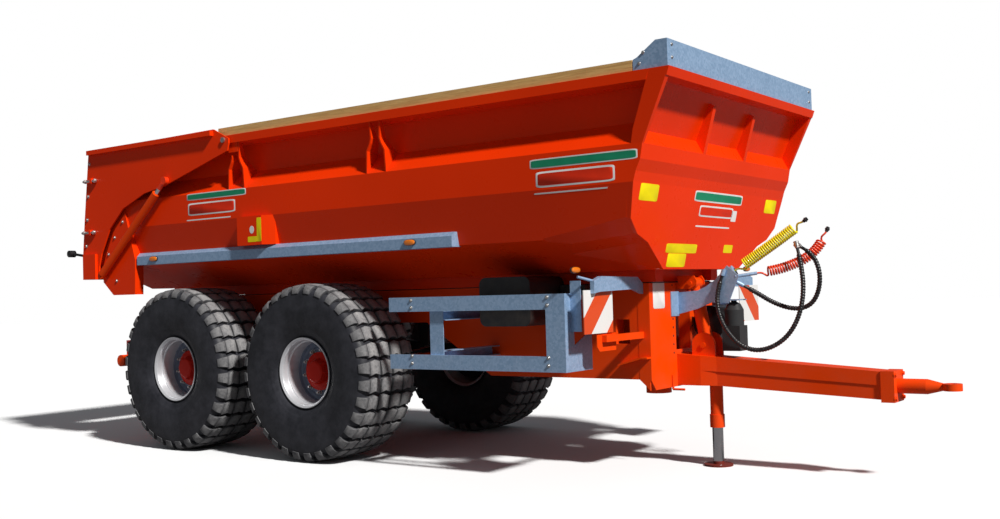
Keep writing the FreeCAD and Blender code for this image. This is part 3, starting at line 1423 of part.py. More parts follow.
def route_wire(spots):
    """Straight runs joined by arcs that start 0.45 of the shorter run from each corner."""
    edges = []
    start = spots[0]
    radii = []
    for before, corner, after in zip(spots, spots[1:], spots[2:]):
        run_in = (corner - before).normalize()
        run_out = (after - corner).normalize()
        back = ARC_SHARE * min((corner - before).Length, (after - corner).Length)
        half_turn = run_in.getAngle(run_out) / 2
        radius = back / math.tan(half_turn)
        towards = (run_out - run_in).normalize()
        centre = corner + towards * (radius / math.cos(half_turn))
        first = corner - run_in * back
        last = corner + run_out * back
        edges.append(Part.LineSegment(start, first).toShape())
        edges.append(Part.Arc(first, centre - towards * radius, last).toShape())
        start = last
        radii.append(radius)
    edges.append(Part.LineSegment(start, spots[-1]).toShape())
    return Part.Wire(edges), radii


def cord(name, places, diameter):
    """A round tube along a route."""
    spots = [Vector(*place) for place in places]
    wire, radii = route_wire(spots)
    path = doc.addObject("Part::Feature", name + "_path")
    path.Shape = wire
    ring = doc.addObject("Part::Circle", name + "_ring")
    bind(ring, "Radius", f"{diameter} / 2")
    ring.Placement = FreeCAD.Placement(spots[0], FreeCAD.Rotation(Vector(0, 0, 1), spots[1] - spots[0]))
    tube = doc.addObject("Part::Sweep", name)
    tube.Sections = [ring]
    tube.Spine = (path, [f"Edge{number + 1}" for number in range(len(wire.Edges))])
    tube.Solid = True
    doc.recompute()
    section = math.pi * (value(diameter) / 2) ** 2
    print(name, "length", round(wire.Length), "smallest radius", round(min(radii)),
          "volume share", round(tube.Shape.Volume / (section * wire.Length), 4))
    return keep(tube)


def gland(name, places, radius, length):
    """A fitting that meets the first end of a route face to face, in line with it."""
    start, following = (Vector(*place) for place in places[:2])
    return strut(name, start - (following - start).normalize() * length, start, radius)


def hoses():
    cord("hose_long", LONG_HOSE, "hose")
    cord("hose_short", SHORT_HOSE, "hose")
    cord("yellow_coil", YELLOW_COIL, "yellow_coil")
    cord("red_coil", RED_COIL, "red_coil")
    long_end = gland("coupling_long", LONG_HOSE, "19", 45)
    short_end = gland("coupling_short", SHORT_HOSE, "19", 45)
    strap = strut("coupling_strap", Vector(2770, 74, 1530), Vector(2762, 128, 1527), "9")
    yellow_end = gland("coupling_yellow", YELLOW_COIL[::-1], "17", 40)
    red_end = gland("coupling_red", RED_COIL[::-1], "14", 34)
    keep(grouped("hose_couplings", joined("coupling_pair", long_end, short_end, strap), yellow_end, red_end))


hoses()


def front_fittings():
    keep(rod("air_tank", "y", ("tank_x", "tank_in", "tank_z"), "tank_radius", "tank_out - tank_in"))
    base = box("dome_base", ("dome_x - dome_radius", "-dome_radius", "dome_z - 265"),
               ("dome_x + dome_radius", "dome_radius", "dome_z - 90"))
    shell = turned("dome_shell", "z", [
        (0, "dome_z - 90"),
        ("dome_radius", "dome_z - 90"),
        ("dome_radius", "dome_z + 20"),
        ("dome_radius * 0.7", "dome_z + 60"),
        (20, "dome_z + 75"),
        (20, "bracket_bottom_z - seat_gap"),
        (0, "bracket_bottom_z - seat_gap"),
    ], ("dome_x", 0, 0))
    keep(joined("accumulator", base, shell))
    outer = "bracket_y - bracket_sheet"
    sheet_plate = plate("hose_sheet", "xz", [
        ("frame_front_x", "1070"),
        ("frame_front_x + 150", "1105"),
        ("bracket_x - 138", "bracket_bottom_z - 10"),
        ("bracket_x - 10", "bracket_bottom_z - 18"),
        ("bracket_x + 73", "1331"),
        ("bracket_x - 14", "1404"),
        ("bracket_x - 100", "1310"),
        ("bracket_x - 180", "1262"),
        ("frame_front_x + 160", "1236"),
        ("frame_front_x", "1225"),
    ], outer, "bracket_y")
    foot = box("hose_foot", ("frame_front_x", "bracket_y - 120", "1059"),
               ("frame_front_x + sheet_thickness", "bracket_y", "1234"))
    shelf = box("hose_shelf", ("dome_x - dome_radius", "bracket_y", "bracket_bottom_z"),
                ("dome_x + dome_radius", "dome_radius", "bracket_bottom_z + bracket_sheet"))
    glands = [
        gland("gland_long", LONG_HOSE[::-1], "16", 45),
        gland("gland_short", SHORT_HOSE[::-1], "15", 55),
        gland("gland_yellow", YELLOW_COIL, "44", 40),
        gland("gland_red", RED_COIL, "12", 150),
    ]
    keep(joined("hose_bracket", sheet_plate, foot, shelf, *glands))


front_fittings()

# ---------------------------------------------------------------- check and write
doc.recompute()
failed = [thing.Name for thing in doc.Objects if set(thing.State) & {"Invalid", "Error"}]
if failed:
    raise RuntimeError("failed objects: " + ", ".join(failed))
os.makedirs("parts", exist_ok=True)
for label, piece in nodes.items():
    shape = piece.Shape
    if shape.isNull() or not shape.isValid():
        raise RuntimeError("bad shape: " + label)
    shape.exportStep(f"parts/{label}.step")
print(len(nodes), "nodes written")
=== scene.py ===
"""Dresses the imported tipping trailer: tyres, rims, hoses, lamps, labels, fasteners and finishes."""

import math

import bpy
import numpy as np
from bpy.props import FloatProperty, FloatVectorProperty, IntProperty, PointerProperty
from mathutils import Matrix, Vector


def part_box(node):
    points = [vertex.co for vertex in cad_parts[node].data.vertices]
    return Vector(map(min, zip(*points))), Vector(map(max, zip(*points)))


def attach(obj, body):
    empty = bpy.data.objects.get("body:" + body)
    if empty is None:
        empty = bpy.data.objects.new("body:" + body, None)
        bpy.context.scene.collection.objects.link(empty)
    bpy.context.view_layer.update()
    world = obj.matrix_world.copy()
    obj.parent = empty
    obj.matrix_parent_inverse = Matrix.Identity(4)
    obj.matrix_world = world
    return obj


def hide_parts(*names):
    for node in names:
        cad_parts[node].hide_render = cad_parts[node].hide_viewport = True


bl_info = {
    "name": "Tipping Trailer",
    "version": (1, 0, 0),
    "blender": (4, 5, 0),
    "location": "View3D > Sidebar > Trailer",
    "description": "Tyres, rims, hoses, lamps, labels, fasteners and finishes for the packed trailer",
    "category": "Object",
}

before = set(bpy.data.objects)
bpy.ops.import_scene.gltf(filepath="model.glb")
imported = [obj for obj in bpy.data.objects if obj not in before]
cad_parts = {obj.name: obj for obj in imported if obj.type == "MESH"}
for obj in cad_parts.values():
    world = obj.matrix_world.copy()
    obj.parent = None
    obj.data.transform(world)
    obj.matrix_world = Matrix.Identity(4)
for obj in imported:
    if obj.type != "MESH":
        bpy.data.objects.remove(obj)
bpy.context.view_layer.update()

WHEELS = {
    "front_right": (-0.670, -0.990),
    "front_left": (-0.670, 0.990),
    "rear_right": (-2.240, -0.990),
    "rear_left": (-2.240, 0.990),
}
WHEEL_RADIUS = 0.6875


# ------------------------------------------------------------------ settings
def colour_field(name, description, default):
    return FloatVectorProperty(
        name=name, description=description, subtype="COLOR", min=0, max=1, default=default)


def metre_field(name, description, low, high, default):
    return FloatProperty(
        name=name, description=description, subtype="DISTANCE", unit="LENGTH", min=low, max=high,
        default=default)


def count_field(name, description, low, default):
    return IntProperty(name=name, description=description, min=low, max=60, default=default)


class TrailerPaintSettings(bpy.types.PropertyGroup):
    """Colours of the coated surfaces and how dusty they are."""

    body: colour_field("Body", "Gloss paint of the tub and tailgate", (0.84, 0.036, 0.001))
    chassis: colour_field("Chassis", "Gloss paint of the frame and drawbar", (0.84, 0.058, 0.001))
    dust: FloatProperty(
        name="Dust", description="How much dust has settled near the ground", min=0, max=1, default=0.05)


class TrailerTyreSettings(bpy.types.PropertyGroup):
    """Tread of the flotation tyres."""

    rows: count_field("Rows", "Cross rows of tread blocks round the tyre", 12, 32)
    groove: metre_field("Groove", "Width of the groove between rows", 0.004, 0.04, 0.032)
    depth: metre_field("Depth", "Height of the tread blocks", 0.005, 0.05, 0.034)
    chevron: metre_field("Chevron", "How far each block's edge is bent", 0, 0.03, 0.014)


class TrailerHoseSettings(bpy.types.PropertyGroup):
    """Hydraulic hoses and curly air hoses."""

    hose: metre_field("Hose", "Diameter of the black hoses", 0.01, 0.04, 0.022)
    air: metre_field("Air tube", "Diameter of the curly air tubes", 0.005, 0.02, 0.0135)
    yellow_turns: count_field("Yellow turns", "Turns of the yellow curly hose", 4, 26)
    red_turns: count_field("Red turns", "Turns of the red curly hose", 4, 24)


class TrailerStageSettings(bpy.types.PropertyGroup):
    """Floor and studio light."""

    floor: colour_field("Floor", "Colour of the floor", (0.95, 0.97, 1.00))
    key: FloatProperty(name="Key light", description="Strength of the main light", min=0, max=10, default=4.6)
    sky: FloatProperty(
        name="Sky", description="Strength of the light from all round", min=0, max=3, default=0.13)


# ------------------------------------------------------------------ node helpers
def plug(tree, inputs, sockets):
    """Links or sets sockets; a value that is another's output is linked."""
    for name, value in sockets.items():
        if isinstance(value, bpy.types.NodeSocket):
            tree.links.new(value, inputs[name])
        else:
            inputs[name].default_value = value


def node(tree, kind, sockets=None, **settings):
    """A shader node with its settings and sockets."""
    made = tree.nodes.new("ShaderNode" + kind)
    for name, value in settings.items():
        setattr(made, name, value)
    plug(tree, made.inputs, sockets or {})
    return made


def maths(tree, operation, *values):
    """Output of a Math node over the values."""
    return node(tree, "Math", dict(enumerate(values)), operation=operation).outputs[0]


def times(tree, first, second):
    return maths(tree, "MULTIPLY", first, second)


def plus(tree, first, second):
    return maths(tree, "ADD", first, second)


def less(tree, first, second):
    return maths(tree, "SUBTRACT", first, second)


def mixed(tree, share, first, second):
    """Output of a colour Mix node."""
    return node(tree, "Mix", {0: share, 6: first, 7: second}, data_type="RGBA").outputs[2]


def spread(tree, value, low, high, out_low=0.0, out_high=1.0):
    """Output of a Map Range node that clamps."""
    sockets = {"Value": value, "From Min": low, "From Max": high, "To Min": out_low, "To Max": out_high}
    return node(tree, "MapRange", sockets).outputs[0]


def place(tree):
    """Object coordinates, which are the row frame's metres."""
    return node(tree, "TexCoord").outputs["Object"]


def parts_of(tree, vector):
    return node(tree, "SeparateXYZ", {0: vector}).outputs


def noise(tree, scale, detail=3.0, rough=0.5, where=None):
    """Output of a Noise node, over the object's coordinates if nothing else is given."""
    sockets = {"Vector": where or place(tree), "Scale": scale, "Detail": detail, "Roughness": rough}
    return node(tree, "TexNoise", sockets).outputs[0]


def drift(tree, cloud, low, high):
    """A noise's middle reach spread from low to high."""
    return spread(tree, cloud, 0.3, 0.7, low, high)


def group(name, inputs, output, build):
    """A shader node group made once, with float inputs, one output, and a function that fills it."""
    found = bpy.data.node_groups.get(name)
    if found:
        return found
    made = bpy.data.node_groups.new(name, "ShaderNodeTree")
    kind = "NodeSocketFloat"
    for name_in, default in inputs.items():
        made.interface.new_socket(name_in, in_out="INPUT", socket_type=kind).default_value = default
    made.interface.new_socket(output, in_out="OUTPUT", socket_type=kind)
    source = made.nodes.new("NodeGroupInput")
    sink = made.nodes.new("NodeGroupOutput")
    made.links.new(build(made, source.outputs), sink.inputs[0])
    return made


def use(tree, made, **values):
    """Output of a group placed in a material with its own values."""
    copy = node(tree, "Group", node_tree=made)
    plug(tree, copy.inputs, values)
    return copy.outputs[0]


def settled_dust():
    """Mask of dust that is thickest near the ground and broken up by noise."""
    def build(tree, given):
        low = spread(tree, parts_of(tree, place(tree))[2], given["Top"], 0.15)
        patchy = spread(tree, noise(tree, given["Scale"], 5.0, 0.62), 0.38, 0.72)
        return times(tree, times(tree, low, patchy), given["Amount"])
    return group("Settled dust", {"Scale": 6.0, "Top": 1.3, "Amount": 0.3}, "Mask", build)


def tone_drift():
    """A slow change of tone over a coated sheet, from Low to High."""
    def build(tree, given):
        return drift(tree, noise(tree, given["Scale"], 2.0), given["Low"], given["High"])
    return group("Tone drift", {"Scale": 1.2, "Low": 0.92, "High": 1.05}, "Tone", build)


def fine_relief():
    """Height of a fine uneven surface, such as orange peel in paint or the grain of cast iron."""
    def build(tree, given):
        coarse = noise(tree, given["Scale"], 2.0)
        fine = noise(tree, times(tree, given["Scale"], 3.7), 2.0)
        return times(tree, plus(tree, coarse, times(tree, fine, 0.4)), given["Depth"])
    return group("Fine relief", {"Scale": 120.0, "Depth": 0.001}, "Height", build)


def spangle():
    """Flakes of tone as on hot-dip galvanised steel, broken up by streaks."""
    def build(tree, given):
        flakes = node(tree, "TexVoronoi", {"Vector": place(tree), "Scale": given["Scale"]}).outputs["Color"]
        tone = node(tree, "SeparateColor", {0: flakes}).outputs[0]
        return plus(tree, times(tree, tone, 0.6), times(tree, noise(tree, 4.0, 4.0), 0.4))
    return group("Spangle", {"Scale": 90.0}, "Tone", build)


# ------------------------------------------------------------------ finishes
def material(name):
    """An empty material with its Principled shader."""
    made = bpy.data.materials.new(name)
    made.use_nodes = True
    tree = made.node_tree
    tree.nodes.clear()
    output = tree.nodes.new("ShaderNodeOutputMaterial")
    shader = tree.nodes.new("ShaderNodeBsdfPrincipled")
    tree.links.new(shader.outputs[0], output.inputs[0])
    return made, tree, shader


def feed(tree, shader, sockets):
    """Links or sets the shader's sockets; underscores stand for spaces."""
    plug(tree, shader.inputs, {label.replace("_", " "): value for label, value in sockets.items()})


def bumped(tree, height):
    return node(tree, "Bump", {"Height": height, "Strength": 1.0, "Distance": 1.0}).outputs[0]


def grained(tree, scale, depth):
    """A shader's normal over a fine relief."""
    return bumped(tree, use(tree, fine_relief(), Scale=scale, Depth=depth))


def toned(tree, colour, tone):
    """A colour whose value is scaled by a tone."""
    return node(tree, "HueSaturation", {"Color": colour, "Value": tone}).outputs[0]


def solid(colour):
    return (*colour, 1.0)


def drifting(tree, colour, scale, low, high):
    """A colour whose tone drifts slowly over the piece."""
    return toned(tree, solid(colour), use(tree, tone_drift(), Scale=scale, Low=low, High=high))


DUST = (0.30, 0.25, 0.19, 1.0)
CHROME = (0.75, 0.76, 0.78, 1)


# each finish gives its shader's sockets
def coat(tree, colour, gloss=0.30, clear=0.05, metallic=0.0, dust=1.0, peel=0.00010, peel_scale=60.0):
    """Sprayed paint: a drifting tone, orange peel, and dust towards the ground."""
    mask = use(tree, settled_dust(), Scale=5.0, Top=1.35, Amount=bpy.context.scene.trailer_paint.dust * dust)
    smear = drift(tree, noise(tree, 7.0, 5.0, 0.6), gloss * 0.8, gloss * 1.25)
    return dict(
        Base_Color=mixed(tree, mask, drifting(tree, colour, 0.9, 0.93, 1.05), DUST),
        Roughness=plus(tree, smear, times(tree, mask, 0.5)), Metallic=metallic, Coat_Weight=clear,
        Coat_Roughness=0.08, Specular_IOR_Level=0.10, Normal=grained(tree, peel_scale, peel))


def galvanised(tree):
    flakes = use(tree, spangle(), Scale=70.0)
    mask = use(tree, settled_dust(), Scale=8.0, Top=1.5, Amount=0.15)
    # the strong blue of both spangle tones is painted sky reflection; the flakes and the dust are the sheet's
    # own
    base = mixed(tree, spread(tree, flakes, 0.2, 0.8), (0.24, 0.38, 0.58, 1), (0.33, 0.48, 0.70, 1))
    return dict(Base_Color=mixed(tree, mask, base, DUST), Metallic=0.25,
                Roughness=spread(tree, flakes, 0.2, 0.8, 0.30, 0.42), Normal=grained(tree, 30.0, 0.0003))


def zinc(tree):
    stain = noise(tree, 40.0, 4.0, 0.6)
    base = mixed(tree, spread(tree, stain, 0.35, 0.7), (0.62, 0.62, 0.63, 1), (0.42, 0.40, 0.37, 1))
    return dict(Base_Color=base, Metallic=0.9, Roughness=drift(tree, stain, 0.25, 0.45))


def chrome(tree):
    return dict(Base_Color=CHROME, Metallic=1.0, Roughness=drift(tree, noise(tree, 14.0), 0.08, 0.2))


def rod_chrome(tree):
    """Hard chrome shaft whose eye end is painted; the mask is the distance from the eye."""
    parts = parts_of(tree, place(tree))
    along = less(tree, parts[0], ROD_EYE[0])
    above = less(tree, parts[2], ROD_EYE[1])
    away = maths(tree, "SQRT", plus(tree, times(tree, along, along), times(tree, above, above)))
    shaft = spread(tree, away, 0.098, 0.102)
    rough = less(tree, drift(tree, noise(tree, 14.0), 0.32, 0.42), times(tree, shaft, 0.22))
    paint = solid(bpy.context.scene.trailer_paint.body)
    return dict(Base_Color=mixed(tree, shaft, paint, CHROME), Metallic=shaft, Roughness=rough)


def jack_rod(tree):
    """Hard chrome leg standing on a foot painted a dull red."""
    bare = maths(tree, "GREATER_THAN", parts_of(tree, place(tree))[2], 0.034)
    rough = less(tree, drift(tree, noise(tree, 14.0), 0.45, 0.55), times(tree, bare, 0.25))
    base = mixed(tree, bare, (0.16, 0.018, 0.010, 1), (0.55, 0.56, 0.58, 1))
    return dict(Base_Color=base, Metallic=bare, Roughness=rough)


def board_wood(tree):
    """Varnished board: grain drawn out along the trailer's length."""
    along = node(tree, "Mapping", {"Vector": place(tree), "Scale": (0.7, 14.0, 14.0)}).outputs[0]
    bend = noise(tree, 2.0, where=along)
    drawn = {"Vector": along, "Scale": 6.0, "Detail": 6.0, "Distortion": 1.4}
    grain = node(tree, "TexNoise", drawn).outputs[0]
    fleck = node(tree, "Mapping", {"Vector": place(tree), "Scale": (5.0, 90.0, 90.0)}).outputs[0]
    pore = noise(tree, 3.0, 4.0, 0.7, fleck)
    base = mixed(tree, spread(tree, grain, 0.35, 0.65), (0.78, 0.50, 0.18, 1), (0.60, 0.34, 0.11, 1))
    base = mixed(tree, spread(tree, bend, 0.45, 0.8, 0.0, 0.5), base, (0.76, 0.50, 0.22, 1))
    base = mixed(tree, spread(tree, pore, 0.60, 0.75, 0.0, 0.6), base, (0.24, 0.11, 0.04, 1))
    return dict(Base_Color=base, Roughness=drift(tree, pore, 0.42, 0.62), Coat_Weight=0.15,
                Coat_Roughness=0.3, Normal=bumped(tree, times(tree, pore, 0.0012)))


def black_plastic(tree):
    mask = use(tree, settled_dust(), Scale=9.0, Top=1.6, Amount=0.3)
    return dict(Base_Color=mixed(tree, mask, (0.012, 0.012, 0.014, 1), DUST), Roughness=0.42,
                Normal=grained(tree, 400.0, 0.0004))


def rubber(tree):
    """Tyre rubber: block tops are greyer than the carcass, partly scuffed rubber and partly painted sunlight,
    with dust and fine relief.
    """
    worn_and_sunlit = node(tree, "Attribute", attribute_name="worn_and_sunlit").outputs["Fac"]
    cloud = noise(tree, 9.0, 6.0, 0.65)
    speck = noise(tree, 55.0, 4.0, 0.7)
    side = mixed(tree, spread(tree, cloud, 0.35, 0.75), (0.012, 0.013, 0.018, 1), (0.040, 0.041, 0.052, 1))
    # block tops: scuffed rubber and painted sunlight, lighter than the carcass
    top = mixed(tree, spread(tree, cloud, 0.3, 0.7), (0.180, 0.180, 0.190, 1), (0.340, 0.338, 0.340, 1))
    base = mixed(tree, times(tree, worn_and_sunlit, spread(tree, speck, 0.25, 0.55, 0.45, 1.0)), side, top)
    rough = plus(tree, drift(tree, speck, 0.46, 0.62), times(tree, worn_and_sunlit, 0.12))
    return dict(Base_Color=base, Roughness=rough, Specular_IOR_Level=0.4, Normal=grained(tree, 220.0, 0.0006))


def hose_rubber(tree):
    scuff = noise(tree, 30.0, 4.0, 0.7)
    base = mixed(tree, spread(tree, scuff, 0.5, 0.8), (0.010, 0.010, 0.012, 1), (0.05, 0.05, 0.055, 1))
    return dict(Base_Color=base, Roughness=drift(tree, scuff, 0.26, 0.42))


def nylon(tree, colour):
    return dict(Base_Color=drifting(tree, colour, 25.0, 0.85, 1.08), Roughness=0.3, Coat_Weight=0.3)


def lens(tree, colour, glow):
    """Moulded lamp lens with fine ribs."""
    ribs = node(tree, "TexWave", {"Vector": place(tree), "Scale": 60.0}, bands_direction="Z").outputs[1]
    return dict(
        Base_Color=drifting(tree, colour, 30.0, 0.9, 1.1), Roughness=0.12, Coat_Weight=0.6,
        Emission_Color=solid(colour), Emission_Strength=glow, Normal=bumped(tree, times(tree, ribs, 0.0008)))


def striped_sheet(tree):
    """Reflective warning sheet with slanting bands of red and white."""
    parts = parts_of(tree, place(tree))
    slant = plus(tree, times(tree, maths(tree, "ABSOLUTE", parts[1]), 2.6), times(tree, parts[2], 2.6))
    band = maths(tree, "GREATER_THAN", maths(tree, "FRACT", slant), 0.5)
    beads = node(tree, "TexVoronoi", {"Vector": place(tree), "Scale": 260.0}).outputs[0]
    base = mixed(tree, band, (0.78, 0.78, 0.77, 1), (0.70, 0.07, 0.01, 1))
    return dict(Base_Color=toned(tree, base, spread(tree, beads, 0.0, 0.6, 0.92, 1.03)), Roughness=0.35,
                Coat_Weight=0.4)


def label(tree, colour):
    """Printed film: plain colour, slightly faded, with a fine grain."""
    return dict(Base_Color=drifting(tree, colour, 12.0, 0.93, 1.04), Roughness=0.5, Specular_IOR_Level=0.2,
                Normal=grained(tree, 300.0, 0.0001))


ROD_EYE = (-2.286, 2.296)
FINISHES = {
    "body paint": lambda tree: coat(tree, bpy.context.scene.trailer_paint.body),
    "chassis paint": lambda tree: coat(tree, bpy.context.scene.trailer_paint.chassis, gloss=0.33, dust=1.6),
    "black paint": lambda tree: coat(tree, (0.012, 0.012, 0.014), gloss=0.35, clear=0.2),
    "grey casting": lambda tree: coat(
        tree, (0.035, 0.037, 0.040), gloss=0.5, clear=0.0, peel=0.0012, peel_scale=150.0),
    "rim silver": lambda tree: coat(
        tree, (0.66, 0.67, 0.71), gloss=0.34, clear=0.3, metallic=0.45, dust=0.4, peel=0.0002),
    # the disc's dark blue-grey is painted shade of the deep dish
    "rim disc in painted shade": lambda tree: coat(tree, (0.16, 0.19, 0.26), gloss=0.45, clear=0.1, metallic=0.4, dust=0.5),
    "hub paint": lambda tree: coat(tree, (0.55, 0.012, 0.004), dust=0.4),
    "galvanised sheet": galvanised,
    "zinc plate": zinc,
    "hard chrome": chrome,
    "gate rod": rod_chrome,
    "jack rod": jack_rod,
    "varnished board": board_wood,
    "black plastic": black_plastic,
    "tyre rubber": rubber,
    "hose rubber": hose_rubber,
    "yellow nylon": lambda tree: nylon(tree, (0.95, 0.86, 0.02)),
    "red nylon": lambda tree: nylon(tree, (0.85, 0.07, 0.02)),
    "amber lens": lambda tree: lens(tree, (0.72, 0.18, 0.01), 0.08),
    "red lens": lambda tree: lens(tree, (0.42, 0.012, 0.010), 0.04),
    "striped sheet": striped_sheet,
    "yellow film": lambda tree: label(tree, (0.84, 0.70, 0.004)),
    "white film": lambda tree: label(tree, (0.75, 0.76, 0.76)),
    "red film": lambda tree: label(tree, (0.72, 0.030, 0.006)),
    "green film": lambda tree: label(tree, (0.012, 0.25, 0.13)),
    # painted shade: black film for the dark inside the front post's holes
    "painted hole shade": lambda tree: label(tree, (0.02, 0.02, 0.02)),
}


def finish(name):
    """The material of that name, made the first time it is asked for."""
    if name not in bpy.data.materials:
        _, tree, shader = material(name)
        feed(tree, shader, FINISHES[name](tree))
    return bpy.data.materials[name]


NODE_FINISHES = {
    "body paint": (
        "tub_shell", "headboard", "tub_posts", "rear_plates", "gate_cheeks", "tailgate_panel", "tub_runners"),
    "chassis paint": (
        "chassis_frame", "front_frame", "drawbar", "towing_eye", "drawbar_strut", "jack_tube", "axle_front",
        "axle_rear", "rear_bumper", "lift_barrel", "gate_barrel_right", "gate_barrel_left"),
    "galvanised sheet": ("side_strips", "hose_bracket", "board_arms", "side_guards", "spill_plate"),
    "zinc plate": ("gate_pivots", "hose_couplings"),
    "gate rod": ("gate_rod_right", "gate_rod_left"),
    "jack rod": ("jack_leg",),
    "hard chrome": tuple(f"lift_stage_{n}" for n in range(1, 6)),
    "varnished board": ("side_boards",),
    "black plastic": ("toolbox", "stalk_lamps"),
    "black paint": ("air_tank", "springs"),
    "grey casting": ("accumulator",),
    "rim silver": tuple("rim_" + wheel for wheel in WHEELS),
    "hub paint": tuple("hub_" + wheel for wheel in WHEELS),
    "tyre rubber": tuple("tyre_" + wheel for wheel in WHEELS),
    "hose rubber": ("hose_long", "hose_short"),
    "yellow nylon": ("yellow_coil",),
    "red nylon": ("red_coil",),
    "amber lens": ("marker_lamps", "front_lamps"),
    "red lens": ("rear_lamps",),
    "striped sheet": ("warning_boards",),
}


# ------------------------------------------------------------------ mesh helpers
def grid_faces(rows, columns, wrap_rows=False, wrap_columns=False):
    """Quads between neighbours of a grid of points, rows by columns."""
    row = np.arange(rows if wrap_rows else rows - 1)[:, None]
    column = np.arange(columns if wrap_columns else columns - 1)[None, :]
    next_row, next_column = (row + 1) % rows, (column + 1) % columns
    corners = (row * columns + column, row * columns + next_column,
               next_row * columns + next_column, next_row * columns + column)
    return np.stack(corners, -1).reshape(-1, 4)


def inside_out(points, faces):
    """True where the closed shape's volume, summed over fans of triangles, comes out negative."""
    volume = 0.0
    centre = points.mean(0)
    for part in faces:
        corners = points[np.asarray(part)] - centre
        first, second = corners[:, 1:-1], corners[:, 2:]
        volume += np.einsum("fk,ftk->", corners[:, 0], np.cross(first, second))
    return volume < 0


def piece(name, body, finish_name, points, faces, smooth=35.0, attribute=None):
    """A mesh object from stacked copies of points (copies, count, 3) that share one list of faces."""
    points = np.asarray(points, float)
    if points.ndim == 2:
        points = points[None]
    copies, count = points.shape[:2]
    starts = np.arange(copies) * count
    mesh = bpy.data.meshes.new(name)
    if isinstance(faces, np.ndarray):
        faces = [faces]
    made = []
    for part in faces:
        part = np.asarray(part)
        made.extend((part[None] + starts[:, None, None]).reshape(-1, part.shape[-1]).tolist())
    if inside_out(points[0], faces):
        made = [corners[::-1] for corners in made]
    mesh.from_pydata(points.reshape(-1, 3).tolist(), [], made)
    if attribute:
        label_name, values = attribute
        layer = mesh.attributes.new(label_name, "FLOAT", "POINT")
        layer.data.foreach_set("value", np.asarray(values, np.float32).ravel())
    mesh.polygons.foreach_set("use_smooth", np.ones(len(mesh.polygons), bool))
    mesh.set_sharp_from_angle(angle=math.radians(smooth))
    mesh.materials.append(finish(finish_name))
    made_object = bpy.data.objects.new(name, mesh)
    bpy.context.scene.collection.objects.link(made_object)
    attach(made_object, body)
    return made_object


def lathe(profile, centre, segments):
    """Points of a profile (offset along Y, radius) turned about an axis through the centre."""
    profile = np.asarray(profile, float)
    angle = np.linspace(0, 2 * np.pi, segments, endpoint=False)
    along = np.repeat(profile[:, :1], segments, 1)
    first, second = profile[:, 1:] * np.cos(angle), profile[:, 1:] * np.sin(angle)
    return np.stack([second, along, first], -1).reshape(-1, 3) + np.asarray(centre, float)


def lathe_faces(profile, segments, closed):
    return grid_faces(len(profile), segments, closed, True)


# ------------------------------------------------------------------ lines and placing
def rounded_line(points, rounds):
    """Cuts each run at a quarter and three quarters, over and over, so that corners turn into curves."""
    points = np.asarray(points, float)
    for _ in range(rounds):
        ahead = 0.75 * points[:-1] + 0.25 * points[1:]
        behind = 0.25 * points[:-1] + 0.75 * points[1:]
        middle = np.stack([ahead, behind], 1).reshape(-1, points.shape[1])
        points = np.concatenate([points[:1], middle, points[-1:]])
    return points


def way_along(points):
    """How far along the line each of its points lies."""
    return np.concatenate([[0], np.cumsum(np.linalg.norm(np.diff(points, axis=0), axis=1))])


def even_steps(points, count):
    """The same line with points at even steps along it."""
    points = np.asarray(points, float)
    far = way_along(points)
    want = np.linspace(0, far[-1], count)
    return np.stack([np.interp(want, far, points[:, k]) for k in range(points.shape[1])], -1)


def unit(vector):
    vector = np.asarray(vector, float)
    return vector / np.linalg.norm(vector, axis=-1, keepdims=True)


def axes_from(normal, upward=(0, 0, 1)):
    """Rows right, up and normal for a face that looks along the normal."""
    normal = unit(normal)
    right = unit(np.cross(upward, normal))
    return np.stack([right, np.cross(normal, right), normal])


def touch(node_name, start, direction):
    """Where a line from start meets a node of the frame, and the surface's normal there."""
    hit, spot, normal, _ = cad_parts[node_name].ray_cast(start, direction)
    if not hit:
        raise RuntimeError(f"nothing of {node_name} lies along {direction} from {start}")
    normal = np.array(normal)
    return np.array(spot), normal if normal @ np.asarray(direction) < 0 else -normal


def set_on(shape, spots, normals, upward=(0, 0, 1)):
    """Copies of a shape whose local Z is carried onto each normal, at each spot."""
    turned = [np.asarray(shape) @ axes_from(normal, upward) + spot for spot, normal in zip(spots, normals)]
    return np.stack(turned)


def superellipse(half_width, half_height, power, count):
    """Outline whose half axes are given; a larger power squares its corners."""
    angle = np.linspace(0, 2 * np.pi, count, endpoint=False)
    ease = 2.0 / power
    return np.stack([half_width * np.sign(np.cos(angle)) * np.abs(np.cos(angle)) ** ease,
                     half_height * np.sign(np.sin(angle)) * np.abs(np.sin(angle)) ** ease], -1)


def cushion(outline, stations):
    """Shrunken copies of an outline stacked at (share of the outline, height)."""
    return np.concatenate([np.insert(outline * share, 2, height, axis=1) for share, height in stations])


def cushion_faces(count, rings):
    """Sides between the rings and one face at each end."""
    first = np.arange(count)[None, ::-1]
    last = np.arange(count)[None] + (rings - 1) * count
    return [grid_faces(rings, count, False, True), first, last]


def stacked(name, body, finish_name, outline, stations, spots, normals, smooth=35, upward=(0, 0, 1),
            stands_for=None):
    """A piece with a closed cushion on each spot, and the node of the frame that it stands for."""
    made = piece(name, body, finish_name, set_on(cushion(outline, stations), spots, normals, upward),
                 cushion_faces(len(outline), len(stations)), smooth=smooth)
    if stands_for:
        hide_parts(stands_for)
    return made


def film(name, body, finish_name, node_name, start, direction, width, height, power=12, thick=0.0008):
    """A thin label laid on a flat face, found along a line; its corners are a superellipse's."""
    spot, normal = touch(node_name, start, direction)
    return stacked(name, body, finish_name, superellipse(width / 2, height / 2, power, 40),
                   [(1, -0.0015), (1, thick * 0.6), (0.995, thick)], [spot], [normal])


